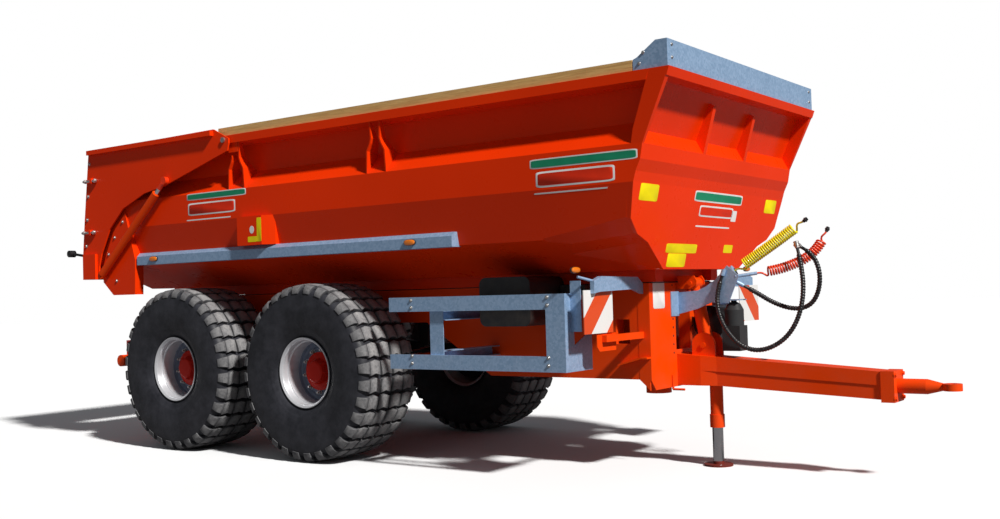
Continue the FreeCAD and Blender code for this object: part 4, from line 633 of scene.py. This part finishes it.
def bolts(name, body, node_name, starts, direction, size, finish_name="zinc plate"):
    """Hexagon heads on washers where lines from the starts meet a node; size is half a head's width."""
    spots, normals = zip(*(touch(node_name, start, direction) for start in starts))
    stacked(name, body, finish_name, superellipse(size, size, 2, 6),
            [(1.0, 0.0), (1.0, size * 0.75), (0.9, size * 0.95), (0.5, size)], spots, normals, 20)
    stacked(name + "_washers", body, finish_name, superellipse(size * 1.45, size * 1.45, 2, 18),
            [(1.0, -0.002), (1.0, 0.0015), (0.94, 0.0025)], spots, normals, 20)


# ------------------------------------------------------------------ wheels
# (half width, radius) round one side of the carcass, from the bead to the crown
CARCASS = [
    (0.2320, 0.275), (0.246, 0.2865), (0.262, 0.310), (0.279, 0.355), (0.2905, 0.415), (0.2965, 0.490),
    (0.2890, 0.604), (0.270, 0.635), (0.232, 0.6510), (0.10, 0.6555), (0.0, 0.6555)]
# radius, height and width of the rings moulded on the side walls
SIDE_RINGS = (
    (0.318, 0.0014, 0.0022), (0.345, 0.0018, 0.003), (0.420, 0.0010, 0.0022), (0.598, 0.0022, 0.004))
SHOULDER = [(0.2352, 0.6790), (0.2540, 0.6740), (0.2720, 0.6600), (0.2860, 0.6380), (0.2945, 0.6120)]
# where each band of tread blocks starts and ends across the tyre
BANDS = ((-0.2300, -0.1330), (-0.1150, -0.0130), (0.0130, 0.1150), (0.1330, 0.2300))
CROWN_DROP, TREAD_HALF = 0.0075, 0.2345
TYRE_SEGMENTS = 144


def lugs(line, half, depth, turns, bend=0.0, sway=None, edge=0.004, draft=0.004):
    """Tread lugs as grids: seven stations along the arc by the stations of a line of (offset, radius).
    The outer ring of each grid sinks by the depth under the carcass and the next is eased by the edge.
    The line across is bent to a chevron, and sway shears a lug sideways. Returns points and a tone that
    lightens the block tops and their eased edges, partly for scuffed rubber and partly as painted sunlight."""
    line = np.asarray(line, float)
    tangent = unit(np.gradient(line, axis=0))
    normal = np.stack([-tangent[:, 1], tangent[:, 0]], -1)
    line = np.concatenate([line[:1] - tangent[:1] * draft, line, line[-1:] + tangent[-1:] * draft])
    normal = np.concatenate([normal[:1], normal, normal[-1:]])
    half = np.interp(np.linspace(0, 1, len(line)), np.linspace(0, 1, len(half)), half)
    arc = np.stack([-half - draft, -half, -half + edge, 0 * half, half - edge, half, half + draft])
    order = np.arange(len(line))
    ring = np.minimum.outer([0, 1, 2, 3, 2, 1, 0], np.minimum(order, order[::-1]))
    sink = np.choose(np.minimum(ring, 2), [depth, edge * 0.7, 0.0])
    middle = (line[0, 0] + line[-1, 0]) / 2
    share = np.abs(line[:, 0] - middle) / abs(line[-1, 0] - middle)
    sway = np.zeros(len(turns)) if sway is None else sway
    offset = (line[:, 0] - normal[:, 0] * sink)[None] + sway[:, None, None] * (arc / half.max())[None]
    radius = np.broadcast_to((line[:, 1] - normal[:, 1] * sink)[None], offset.shape)
    angle = (arc + bend * (0.5 - share))[None] / WHEEL_RADIUS + turns[:, None, None]
    points = np.stack([radius * np.cos(angle), offset, radius * np.sin(angle)], -1)
    wear_and_sunlight = np.broadcast_to(np.choose(np.minimum(ring, 2), [0.0, 0.55, 1.0])[None], offset.shape)
    return points.reshape(len(turns), -1, 3), wear_and_sunlight.reshape(len(turns), -1)


def lug_faces(stations):
    """Grid faces of a lug, and one face that closes it below."""
    rows, columns = 7, stations + 2
    index = np.arange(rows * columns).reshape(rows, columns)
    rim = np.concatenate([index[0, :-1], index[:-1, -1], index[-1, :0:-1], index[:0:-1, 0]])
    return [grid_faces(rows, columns), rim[None, ::-1]]


class TRAILER_OT_tyres(bpy.types.Operator):
    """Moulds the four tyres: a ringed carcass, four bands of chevron blocks and shoulder lugs."""

    bl_idname = "trailer.tyres"
    bl_label = "Tyres"

    def execute(self, context):
        settings = context.scene.trailer_tyres
        half_line = even_steps(rounded_line(CARCASS, 3), 64)
        for radius, height, width in SIDE_RINGS:
            ridge = height * np.exp(-((half_line[:, 1] - radius) / width) ** 2)
            half_line[:, 0] += np.where(half_line[:, 0] > 0.24, ridge, 0)
        mirror = half_line[::-1] * (-1, 1)
        profile = np.concatenate([half_line, mirror[1:], [(-0.232, 0.2625), (0.232, 0.2625)]])
        carcass = lathe(profile, (0, 0, 0), TYRE_SEGMENTS)
        turns = np.arange(settings.rows) * 2 * np.pi / settings.rows
        half = (2 * np.pi * WHEEL_RADIUS / settings.rows - settings.groove) / 2
        sway = np.where(np.arange(settings.rows) % 2, 0.005, -0.005)
        blocks, wear_and_sunlight = [], []
        for low, high in BANDS:
            across = np.linspace(low, high, 5)
            line = np.stack([across, WHEEL_RADIUS - CROWN_DROP * (across / TREAD_HALF) ** 2], -1)
            made = lugs(line, [half], settings.depth + 0.002, turns, settings.chevron,
                        sway if abs(low + high) < 0.2 else None)
            blocks.append(made[0])
            wear_and_sunlight.append(made[1])
        for side in (-1, 1):
            line = np.asarray(SHOULDER)[::side] * (side, 1)
            widths = [half * 0.92, half * 0.80, half * 0.62][::side]
            made = lugs(line, widths, 0.028, turns)
            blocks.append(made[0])
            wear_and_sunlight.append(made[1] * 0.60)
        blocks, wear_and_sunlight = np.concatenate(blocks), np.concatenate(wear_and_sunlight)
        for number, (wheel, (x, y)) in enumerate(WHEELS.items()):
            body = "wheel_" + wheel
            centre = np.array([x, y, WHEEL_RADIUS])
            side_wall = piece("tyre_carcass_" + wheel, body, "tyre rubber", carcass + centre,
                              lathe_faces(profile, TYRE_SEGMENTS, True), smooth=50)
            turned = rotated(blocks, 0.07 + 0.9 * number)
            tread = piece("tyre_tread_" + wheel, body, "tyre rubber", turned + centre, lug_faces(5),
                          smooth=28, attribute=("worn_and_sunlit", wear_and_sunlight))
            for made_piece in (side_wall, tread):
                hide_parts("tyre_" + wheel)
        return {"FINISHED"}


def rotated(points, turn):
    """Points turned about the Y axis."""
    cosine, sine = math.cos(turn), math.sin(turn)
    x, y, z = points[..., 0], points[..., 1], points[..., 2]
    return np.stack([cosine * x - sine * z, y, sine * x + cosine * z], -1)


# half widths and radii of the rim barrel, from the outer lip round to the inner lip and back under the tyre
BARREL = [
    (0.2530, 0.2715), (0.2548, 0.2690), (0.2540, 0.2650), (0.2490, 0.2605), (0.2440, 0.2520),
    (0.2380, 0.2485), (0.1980, 0.2475), (0.1900, 0.2440), (0.1860, 0.2375), (0.1800, 0.2360),
    (0.1200, 0.2345), (0.0800, 0.2340), (-0.1700, 0.2340), (-0.1900, 0.2440), (-0.2380, 0.2480),
    (-0.2490, 0.2605), (-0.2548, 0.2690), (-0.2530, 0.2715), (-0.2450, 0.2700), (-0.2440, 0.2580),
    (0.2440, 0.2580), (0.2450, 0.2700),
]
DISC = [
    (0.0860, 0.2350), (0.0790, 0.2290), (0.0660, 0.2230), (0.0600, 0.2120), (0.0600, 0.1950),
    (0.0660, 0.1860), (0.0665, 0.1500), (0.0620, 0.1420), (0.0600, 0.1220), (0.0420, 0.1205),
    (0.0420, 0.2180), (0.0600, 0.2300), (0.0780, 0.2360),
]
HUB_FLANGE = [(0.0900, 0.0900), (0.0900, 0.1420), (0.0870, 0.1490), (0.0640, 0.1500), (0.0620, 0.1180),
              (-0.0300, 0.1180), (-0.0300, 0.0800)]
HUB_NOSE = [(0.0850, 0.1040), (0.1150, 0.1000), (0.1420, 0.0880), (0.1490, 0.0760), (0.1500, 0.0300)]
DRUM = [(-0.0300, 0.0700), (-0.0300, 0.1990), (-0.0380, 0.2050), (-0.1420, 0.2050), (-0.1500, 0.2000),
        (-0.1500, 0.0700)]


# name, finish, profile, closed on itself, facets, and the node of each wheel that it stands for
TURNED = (
    ("rim_barrel", "rim silver", BARREL, True, 128, "rim"),
    ("rim_disc", "rim disc in painted shade", DISC, True, 96, "rim"),
    ("hub_flange", "hub paint", HUB_FLANGE, True, 64, "hub"),
    ("hub_nose", "hub paint", HUB_NOSE, False, 8, "hub"),
    ("brake_drum", "black paint", DRUM, True, 72, "hub"),
)
NUTS, NUT_CIRCLE, NUT_SEAT = 10, 0.168, 0.0655
NUT = [(1.3, -0.002), (1.3, 0.002), (1.0, 0.003), (1.0, 0.018), (0.82, 0.022), (0.62, 0.022), (0.58, 0.036),
       (0.45, 0.037)]


class TRAILER_OT_rims(bpy.types.Operator):
    """Turns the rims' barrels, discs, hubs and drums, with their wheel nuts."""

    bl_idname = "trailer.rims"
    bl_label = "Rims and hubs"

    def execute(self, context):
        for wheel, (x, y) in WHEELS.items():
            body = "wheel_" + wheel
            side = 1 if y > 0 else -1
            centre = np.array([x, y, WHEEL_RADIUS])
            for name, finish_name, profile, closed, facets, part in TURNED:
                line = np.asarray(profile) * (side, 1)
                faces = [lathe_faces(line, facets, closed)]
                if not closed:
                    ring = np.arange(facets)[None]
                    faces += [ring, ring + (len(line) - 1) * facets]
                made = piece(f"{name}_{wheel}", body, finish_name, lathe(line, centre, facets), faces, 30)
                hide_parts(f"{part}_{wheel}")
            turn = np.arange(NUTS) * 2 * np.pi / NUTS + 0.2
            ring = [NUT_CIRCLE * np.cos(turn), np.full(NUTS, side * NUT_SEAT), NUT_CIRCLE * np.sin(turn)]
            stacked("wheel_nuts_" + wheel, body, "zinc plate", superellipse(0.0165, 0.0165, 2, 6), NUT,
                    centre + np.stack(ring, -1), [(0, side, 0)] * NUTS, 25)
        return {"FINISHED"}


# ------------------------------------------------------------------ hoses
LONG_HOSE = [
    (2.775, 0.072, 1.510), (2.812, 0.058, 1.352), (2.822, 0.034, 1.180), (2.790, 0.008, 1.026),
    (2.720, -0.020, 0.906), (2.615, -0.050, 0.832), (2.500, -0.076, 0.812), (2.390, -0.094, 0.862),
    (2.305, -0.102, 0.965), (2.252, -0.100, 1.092), (2.248, -0.092, 1.222), (2.285, -0.080, 1.336),
]
SHORT_HOSE = [
    (2.775, 0.130, 1.517), (2.850, 0.130, 1.475), (2.902, 0.135, 1.365), (2.899, 0.140, 1.237),
    (2.853, 0.140, 1.136), (2.778, 0.130, 1.092), (2.679, 0.110, 1.098), (2.573, 0.078, 1.145),
    (2.486, 0.032, 1.212), (2.416, -0.024, 1.262),
]
# ways out from a hose's end and radii of its fitting
HOSE_END = [
    (-0.004, 0.012), (0.0, 0.0155), (0.008, 0.0155), (0.010, 0.0190), (0.022, 0.0190), (0.024, 0.0170),
    (0.034, 0.0170), (0.036, 0.0185), (0.043, 0.0185), (0.045, 0.0165)]
COIL_END = [
    (-0.004, 0.006), (0.0, 0.012), (0.010, 0.012), (0.012, 0.0165), (0.022, 0.0165), (0.024, 0.0130),
    (0.032, 0.0130), (0.034, 0.010)]
YELLOW_COIL = [(2.352, -0.016, 1.367), (2.588, 0.018, 1.514), (2.828, 0.062, 1.686)]
RED_COIL = [
    (2.500, 0.018, 1.345), (2.590, 0.075, 1.358), (2.690, 0.140, 1.388), (2.800, 0.210, 1.445),
    (2.872, 0.268, 1.535), (2.900, 0.300, 1.620),
]


def spline(name, points, thick):
    """A curve with one NURBS spline of order three that reaches its end points."""
    curve = bpy.data.curves.new(name, "CURVE")
    curve.dimensions = "3D"
    line = curve.splines.new("NURBS")
    line.points.add(len(points) - 1)
    line.points.foreach_set("co", np.insert(points, 3, 1, axis=1).astype(np.float32).ravel())
    line.order_u = 3
    line.use_endpoint_u = True
    line.resolution_u = 8
    curve.bevel_depth = thick / 2
    curve.bevel_resolution = 4
    curve.use_fill_caps = True
    made = bpy.data.objects.new(name, curve)
    bpy.context.scene.collection.objects.link(made)
    return made


def followed(points):
    """Points read from the route's own NURBS spline, with no bevel."""
    guide = spline("guide", np.asarray(points), 0)
    guide.data.bevel_depth = 0
    guide.data.resolution_u = 24
    mesh = bpy.data.meshes.new_from_object(guide)
    read = np.empty(len(mesh.vertices) * 3)
    mesh.vertices.foreach_get("co", read)
    curve = guide.data
    bpy.data.objects.remove(guide)
    bpy.data.curves.remove(curve)
    bpy.data.meshes.remove(mesh)
    return read.reshape(-1, 3)


def curled(points, turns, radius, lead=0.08, per_turn=14, lead_points=10):
    """A helix round a route. Over the lead at each end its radius and turning both come up from nothing; a
    frame carried along the route without twist gives the two directions it goes round."""
    line = followed(points)
    measured = way_along(line)
    total = measured[-1]
    ramp = (np.arange(lead_points) + 0.5) / lead_points
    inner = turns * per_turn
    lead_steps = np.full(lead_points, lead / lead_points)
    steps = np.concatenate([lead_steps, np.full(inner, (total - 2 * lead) / inner), lead_steps])
    rates = np.concatenate([ramp, np.ones(inner), ramp[::-1]])
    turning = np.concatenate([[0], np.cumsum(rates)]) * 2 * math.pi / per_turn
    far = np.concatenate([[0], np.cumsum(steps)])
    route = np.stack([np.interp(far, measured, line[:, k]) for k in range(3)], -1)
    along = unit(np.gradient(route, axis=0))
    share = np.clip(np.minimum(far, total - far) / lead, 0, 1)
    swell = radius * share * share * (3 - 2 * share)
    side = unit(np.cross(along[0], (0, 0, 1)))
    made = []
    for spot, ahead, reach, turn in zip(route, along, swell, turning):
        side = unit(side - ahead * (side @ ahead))
        made.append(spot + reach * (math.cos(turn) * side + math.sin(turn) * np.cross(ahead, side)))
    return np.array(made)


def length_of(points):
    return float(way_along(followed(points))[-1])


def laid(name, points, thick, finish_name, stands_for, resolution=None):
    """A hose on the chassis that stands for a node of the frame. Its resolution is set before it rides."""
    made = spline(name, points, thick)
    if resolution:
        made.data.bevel_resolution = made.data.resolution_u = resolution
    made.data.materials.append(finish(finish_name))
    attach(made, "chassis")
    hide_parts(stands_for)
    return made


def coupling(name, points, stations, finish_name):
    """A turned fitting on a hose's end: stations of (way out from the end, radius)."""
    outward = unit(np.subtract(points[0], points[1]))
    return stacked(name, "chassis", finish_name, superellipse(1, 1, 2, 32),
                   [(radius, way) for way, radius in stations], [np.asarray(points[0])], [outward], 30,
                   (0, 0, 1) if abs(outward[2]) < 0.9 else (1, 0, 0), "hose_couplings")


# the guard's rings stand a step apart, start and stop a few rings from the ends, and screw round once a pitch
GUARD_STEP, GUARD_PITCH, GUARD_BARE, GUARD_SIDES = 0.0035, 0.019, 12, 16


def wrapped(name, route, thick):
    """A spiral guard on a hose: a tube along the route whose radius ripples with the way along it and the
    angle round it, so that its ridges run as a screw; it closes down to the hose at both ends."""
    line = followed(route)
    line = even_steps(line, int(way_along(line)[-1] / GUARD_STEP))[GUARD_BARE:-GUARD_BARE]
    along = unit(np.gradient(line, axis=0))
    side = unit(np.cross(along, (0.31, 0.94, 0.12)))
    other = np.cross(along, side)
    angle = np.linspace(0, 2 * np.pi, GUARD_SIDES, endpoint=False)
    way = np.arange(len(line))[:, None] * GUARD_STEP
    screw = np.cos(2 * np.pi * way / GUARD_PITCH + angle)
    end = np.clip(np.minimum(way, way[::-1]) / 0.012, 0, 1)
    radius = (thick / 2 + 0.0006 + end * (0.0042 + 0.0013 * np.clip(screw * 2.2, -1, 1)))[..., None]
    spokes = np.cos(angle)[:, None] * side[:, None] + np.sin(angle)[:, None] * other[:, None]
    made = piece("guard_" + name, "chassis", "hose rubber", (line[:, None] + radius * spokes).reshape(-1, 3),
                 cushion_faces(GUARD_SIDES, len(line)), smooth=60)
    return made


class TRAILER_OT_hoses(bpy.types.Operator):
    """Lays the two hydraulic hoses and winds the two curly air hoses, with their couplings."""

    bl_idname = "trailer.hoses"
    bl_label = "Hoses"

    def execute(self, context):
        settings = context.scene.trailer_hoses
        for name, route, length in (("hose_long", LONG_HOSE, 1.52), ("hose_short", SHORT_HOSE, 0.96)):
            fitting = coupling("coupling_" + name[5:], route, HOSE_END, "zinc plate")
            sleeve = wrapped(name, route, settings.hose)
            hose = laid("black_" + name, np.asarray(route), settings.hose, "hose rubber", name)
        coils = (("yellow_coil", YELLOW_COIL, settings.yellow_turns, 0.0415, "yellow nylon", "hose_yellow"),
                 ("red_coil", RED_COIL, settings.red_turns, 0.0375, "red nylon", "hose_red"))
        for name, route, turns, reach, finish_name, slot_name in coils:
            fitting = coupling("coupling_" + name, route[::-1], COIL_END, "black plastic")
            helix = curled(route, turns, reach - settings.air / 2)
            tube = laid("curly_" + name, helix, settings.air, finish_name, name, 3)
            length_of(helix)
        stacked("coupling_strap", "chassis", "black plastic", superellipse(0.009, 0.028, 4, 24),
                [(1, -0.003), (1, 0.003)], [(2.766, 0.101, 1.5285)], [(1, 0.1, 0.4)], upward=(0, 1, 0),
                stands_for="hose_couplings")
        return {"FINISHED"}


# ------------------------------------------------------------------ lamps, labels and fasteners
def dome(name, body, spot, outward, width, height, depth, stands_for):
    """A lens swollen over its rim, and the dark rim round it."""
    outline = superellipse(width / 2, height / 2, 2.6, 40)
    swell = np.linspace(0, math.pi / 2, 7)
    lens_line = [(0.92 * math.cos(a) ** 0.6, (0.35 + 0.65 * math.sin(a)) * depth) for a in swell[:-1]]
    lens_line = [(0.92, 0.0), *lens_line, (0.05, depth)]
    rim_line = [(1.0, -0.001), (1.0, 0.32 * depth), (0.97, 0.42 * depth), (0.90, 0.40 * depth)]
    for ending, finish_name, line, smooth in (("", "amber lens", lens_line, 40),
                                              ("_rim", "black plastic", rim_line, 30)):
        stacked(name + ending, body, finish_name, outline, line, [spot], [outward], smooth,
                stands_for=stands_for)


class TRAILER_OT_lamps(bpy.types.Operator):
    """Sets the oval side markers and front position lamps."""

    bl_idname = "trailer.lamps"
    bl_label = "Lamps"

    def execute(self, context):
        face = 1.2115
        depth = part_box("marker_lamps")[1][1] - face
        for side, word in ((-1, "right"), (1, "left")):
            for name, x in (("front", 0.409), ("rear", -2.531)):
                dome(f"marker_{name}_{word}", "tub", (x, side * face, 1.637), (0, side, 0), 0.110, 0.045,
                     depth, "marker_lamps")
        for word, x, y in (("right", 1.790, -1.215), ("left", 1.895, 1.215)):
            dome(f"position_lamp_{word}", "chassis", (x, y, 1.393), (1, 0, 0), 0.105, 0.042, 0.026,
                 "front_lamps")
        return {"FINISHED"}


# films on the headboard: name, finish, place across, height of the middle, width, height, and thickness
HEAD_FILMS = (
    ("label_upper_right", "yellow film", -0.974, 1.873, 0.243, 0.110, 0.0008),
    ("label_upper_left", "yellow film", 0.985, 1.866, 0.210, 0.105, 0.0008),
    ("label_low_right", "yellow film", -0.385, 1.527, 0.455, 0.064, 0.0008),
    ("label_low_step", "yellow film", -0.435, 1.447, 0.270, 0.094, 0.0008),
    ("label_low_left", "yellow film", 0.354, 1.533, 0.150, 0.060, 0.0008),
    ("head_frame", "white film", 0.061, 1.886, 0.775, 0.076, 0.0008),
    ("head_plate", "white film", 0.052, 1.788, 0.545, 0.080, 0.0008),
    ("head_patch", "white film", 0.352, 1.770, 0.085, 0.080, 0.0008),
    ("head_line", "white film", 0.035, 1.683, 0.550, 0.011, 0.0008),
    ("head_bar", "green film", 0.061, 1.886, 0.750, 0.054, 0.0014),
    ("head_panel", "red film", 0.052, 1.788, 0.515, 0.058, 0.0014),
)
# films on each side: part, middle along and up, and the bar's width and height
SIDE_FILMS = (("rear", -1.708, 2.139, 0.725, 0.040), ("front", 1.862, 2.099, 0.790, 0.048))
# films on the right rear plate: name, finish, middle along and up, width, height, and the outline's power
WEDGE_FILMS = (
    ("wedge_upright", "yellow film", -1.133, 1.815, 0.052, 0.190, 12),
    ("wedge_foot", "yellow film", -1.213, 1.742, 0.106, 0.044, 12),
    ("wedge_round", "white film", -1.218, 1.818, 0.052, 0.062, 2),
)


class TRAILER_OT_labels(bpy.types.Operator):
    """Lays blank films on the headboard, the front frame, the tub's sides and the right rear plate."""

    bl_idname = "trailer.labels"
    bl_label = "Blank labels"

    def execute(self, context):
        back = (-1, 0, 0)
        for name, finish_name, y, z, width, height, thick in HEAD_FILMS:
            film(name, "tub", finish_name, "headboard", (4, y, z), back, width, height, thick=thick)
        film("post_label", "chassis", "white film", "front_frame", (4, -0.352, 1.214), back, 0.170, 0.190)
        for side, word in ((-1, "right"), (1, "left")):
            for part, x, z, width, height in SIDE_FILMS:
                for kind, finish_name, along, down, wide, high, thick in (
                        ("frame", "white film", 0, 0, width + 0.02, height + 0.016, 0.0008),
                        ("bar", "green film", 0, 0, width, height, 0.0014),
                        ("line", "white film", 0.10, 0.195, 0.560, 0.010, 0.0008),
                        ("plate", "white film", 0.06, 0.105, 0.600, 0.105, 0.0008),
                        ("panel", "red film", 0.06, 0.105, 0.572, 0.081, 0.0014)):
                    film(f"side_{kind}_{part}_{word}", "tub", finish_name, "tub_shell",
                         (x - along, side * 2.5, z - down), (0, -side, 0), wide, high, thick=thick)
        for name, finish_name, x, z, width, height, power in WEDGE_FILMS:
            film(name, "tub", finish_name, "rear_plates", (x, -2.5, z), (0, 1, 0), width, height, power)
        return {"FINISHED"}


# shares of the pin's radius by the way along it, with its two collars
GATE_PIN = [(0.7, -0.108), (1.0, -0.105), (1.0, -0.080), (1.7, -0.078), (1.7, -0.066), (1.0, -0.064),
            (1.0, 0.065), (1.8, 0.067), (1.8, 0.080), (1.0, 0.082), (1.0, 0.094), (0.6, 0.096)]
# name, body, node, places (along, up) on both sides, and half a head's width
OUTER_BOLTS = (
    ("guard_bolts", "chassis", "side_guards",
     [(x, z) for x in (0.402, 1.569) for z in (1.223, 1.171, 0.828, 0.777)], 0.009),
    ("gate_edge_bolts", "tailgate", "gate_cheeks",
     [(-3.405, 2.540), (-3.430, 2.243), (-3.450, 2.030), (-3.470, 1.790)], 0.011),
)
TUB_BOLTS = (
    ("fin_bolts", "tub", "rear_plates",
     [(-2.960, 1.985), (-3.080, 1.850), (-3.175, 1.703), (-3.215, 1.617), (-3.06, 1.461)], 0.010),
    ("spill_side_bolts", "tub", "spill_plate", [(2.330, 2.715), (2.300, 2.650)], 0.008),
)


def side_bolts(rows, side, word):
    """Bolts driven in from one side, in the rows of a table."""
    for name, body, node_name, places, size in rows:
        starts = [(x, side * 2.5, z) for x, z in places]
        bolts(f"{name}_{word}", body, node_name, starts, (0, -side, 0), size)


class TRAILER_OT_fasteners(bpy.types.Operator):
    """Bolts the sheets and flange, pins the tailgate, and lays the rests between chassis and runners."""

    bl_idname = "trailer.fasteners"
    bl_label = "Bolts"

    def execute(self, context):
        ahead, above = (1, 0, 0), (0, 0, 1)
        for side, word in ((-1, "right"), (1, "left")):
            side_bolts(OUTER_BOLTS, side, word)
            for name, x, z in (("upper", -3.375, 2.380), ("lower", -3.405, 1.910)):
                stacked(f"gate_pin_{name}_{word}", "tailgate", "zinc plate",
                        superellipse(0.011, 0.011, 2, 20), GATE_PIN, [(x, side * 1.262, z)], [ahead], 30)
                stacked(f"gate_pin_clamp_{name}_{word}", "tailgate", "body paint",
                        superellipse(0.017, 0.026, 5, 24), [(1.0, -0.012), (1.0, 0.012)],
                        [(x + 0.020, side * 1.258, z)], [ahead])
            side_bolts(TUB_BOLTS, side, word)
            bolts(f"spill_front_bolts_{word}", "tub", "spill_plate",
                  [(4, side * 1.145, z) for z in (2.750, 2.670)], (-1, 0, 0), 0.008)
            bolts(f"flange_bolts_{word}", "chassis", "towing_eye",
                  [(4, side * 0.082, z) for z in (0.670, 0.518)], (-1, 0, 0), 0.014, "chassis paint")
            stacked(f"rest_strip_{word}", "chassis", "hose rubber", superellipse(2.30, 0.040, 60, 64),
                    [(1.0, -0.001), (1.0, 0.0050)], [(-0.50, side * 0.42, 1.300)], [above], upward=(0, 1, 0))
            # black discs on the front post are painted shade standing in for its holes
            heights = np.linspace(0.80, 1.28, 9)
            stacked(f"post_hole_shade_{word}", "chassis", "painted hole shade", superellipse(0.0075, 0.0075, 2, 14),
                    [(1.0, -0.001), (1.0, 0.0006)], [(1.930, side * 0.150, z) for z in heights], [ahead] * 9)
        stacked("rest_pad", "chassis", "hose rubber", superellipse(0.045, 0.46, 60, 64),
                [(1.0, -0.001), (1.0, 0.0070)], [(1.89, 0, 1.298)], [above], upward=(0, 1, 0))
        return {"FINISHED"}


def main():
    """Makes everything in order."""
    register()
    for operator in OPERATORS:
        module, name = operator.bl_idname.split(".")
        getattr(getattr(bpy.ops, module), name)()


# ------------------------------------------------------------------ operators
class TRAILER_OT_finishes(bpy.types.Operator):
    """Gives every node of the frame its finish."""

    bl_idname = "trailer.finishes"
    bl_label = "Finish the frame"

    def execute(self, context):
        for finish_name, names in NODE_FINISHES.items():
            for name in names:
                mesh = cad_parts[name].data
                mesh.materials.clear()
                mesh.materials.append(finish(finish_name))
        return {"FINISHED"}


FLOOR_REACH = 60.0
SUN = (0.80, -0.22, 0.72)
# the camera's turn to the left, lift and roll in degrees, its place, focal length in mm, and lens shift
CAMERA_TURNS, CAMERA_PLACE = (126.072, 1.523, -1.649), (5.587, -7.211, 1.278)
FOCAL, SHIFT = 39.831, (-0.00196, 0.00123)


class TRAILER_OT_stage(bpy.types.Operator):
    """Lays the floor, hangs the lights and sets the camera."""

    bl_idname = "trailer.stage"
    bl_label = "Set the stage"

    def execute(self, context):
        scene = context.scene
        settings = scene.trailer_stage
        scene.view_settings.view_transform = "Standard"
        floor = bpy.data.meshes.new("floor")
        corners = [(x * FLOOR_REACH, y * FLOOR_REACH, 0) for x, y in ((-1, -1), (1, -1), (1, 1), (-1, 1))]
        floor.from_pydata(corners, [], [(0, 1, 2, 3)])
        made, tree, shader = material("pale floor")
        tone = drift(tree, noise(tree, 0.6), 0.99, 1.01)
        seen = node(tree, "LightPath").outputs["Is Camera Ray"]
        shade = mixed(tree, seen, (0.24, 0.24, 0.25, 1), toned(tree, solid(settings.floor), tone))
        feed(tree, shader, {"Base_Color": shade, "Roughness": 0.9, "Specular_IOR_Level": 0.0})
        floor.materials.append(made)
        ground = bpy.data.objects.new("floor", floor)
        scene.collection.objects.link(ground)
        self.light(scene, settings)
        self.camera(scene)
        return {"FINISHED"}

    def light(self, scene, settings):
        """One broad sun from ahead and above, and an even sky that the camera sees as white."""
        world = bpy.data.worlds.new("studio")
        scene.world = world
        world.use_nodes = True
        tree = world.node_tree
        tree.nodes.clear()
        path = node(tree, "LightPath").outputs
        seen = maths(tree, "MAXIMUM", path["Is Camera Ray"], path["Is Transmission Ray"])
        lit = node(tree, "Background", {"Color": (0.93, 0.96, 1.0, 1), "Strength": settings.sky})
        shown = node(tree, "Background", {"Color": (1, 1, 1, 1), "Strength": 1.0})
        mix = node(tree, "MixShader", {0: seen, 1: lit.outputs[0], 2: shown.outputs[0]})
        tree.links.new(mix.outputs[0], tree.nodes.new("ShaderNodeOutputWorld").inputs[0])
        lamp = bpy.data.lights.new("key", "SUN")
        lamp.energy = settings.key
        lamp.angle = math.radians(4)
        lamp.color = (1.0, 0.975, 0.93)
        key = bpy.data.objects.new("key", lamp)
        key.matrix_world = facing(SUN, (0, 0, 10))
        scene.collection.objects.link(key)

    def camera(self, scene):
        """Stands ahead of the right side at chest height, turned a little anticlockwise."""
        yaw, pitch, roll = (math.radians(turn) for turn in CAMERA_TURNS)
        look = np.array([math.cos(pitch) * math.cos(yaw), math.cos(pitch) * math.sin(yaw), math.sin(pitch)])
        level = unit(np.cross(look, (0, 0, 1)))
        upward = np.cross(level, look)
        right = level * math.cos(roll) + upward * math.sin(roll)
        above = upward * math.cos(roll) - level * math.sin(roll)
        lens_data = bpy.data.cameras.new("camera")
        lens_data.sensor_width = 36.0
        lens_data.lens = FOCAL
        lens_data.shift_x, lens_data.shift_y = SHIFT
        lens_data.clip_end = 500
        camera = bpy.data.objects.new("camera", lens_data)
        camera.matrix_world = placed((right, above, -look), CAMERA_PLACE)
        scene.collection.objects.link(camera)
        scene.camera = camera


def placed(axes, where):
    """A matrix whose columns are the three axes and the place."""
    matrix = Matrix.Identity(4)
    for column, axis in enumerate(axes):
        for row in range(3):
            matrix[row][column] = axis[row]
    matrix.translation = where
    return matrix


def facing(direction, where):
    """A matrix whose local Z points along the direction."""
    ahead = unit(direction)
    side = unit(np.cross((0, 0, 1), ahead))
    return placed((side, np.cross(ahead, side), ahead), where)


class TRAILER_PT_tools(bpy.types.Panel):
    """Lists the trailer's operators and settings."""

    bl_idname = "TRAILER_PT_tools"
    bl_label = "Trailer"
    bl_space_type = "VIEW_3D"
    bl_region_type = "UI"
    bl_category = "Trailer"

    def draw(self, context):
        for operator in OPERATORS:
            self.layout.operator(operator.bl_idname)
        for name, kind in SETTINGS.items():
            column = self.layout.column(align=True)
            for field in kind.__annotations__:
                column.prop(getattr(context.scene, name), field)


SETTINGS = {
    "trailer_paint": TrailerPaintSettings,
    "trailer_tyres": TrailerTyreSettings,
    "trailer_hoses": TrailerHoseSettings,
    "trailer_stage": TrailerStageSettings,
}
OPERATORS = (
    TRAILER_OT_stage, TRAILER_OT_finishes, TRAILER_OT_hoses, TRAILER_OT_tyres, TRAILER_OT_rims,
    TRAILER_OT_lamps, TRAILER_OT_labels, TRAILER_OT_fasteners)
CLASSES = (*SETTINGS.values(), *OPERATORS, TRAILER_PT_tools)


def register():
    for kind in CLASSES:
        bpy.utils.register_class(kind)
    for name, kind in SETTINGS.items():
        setattr(bpy.types.Scene, name, PointerProperty(type=kind))


def unregister():
    for name in SETTINGS:
        delattr(bpy.types.Scene, name)
    for kind in reversed(CLASSES):
        bpy.utils.unregister_class(kind)


if __name__ == "__main__":
    main()
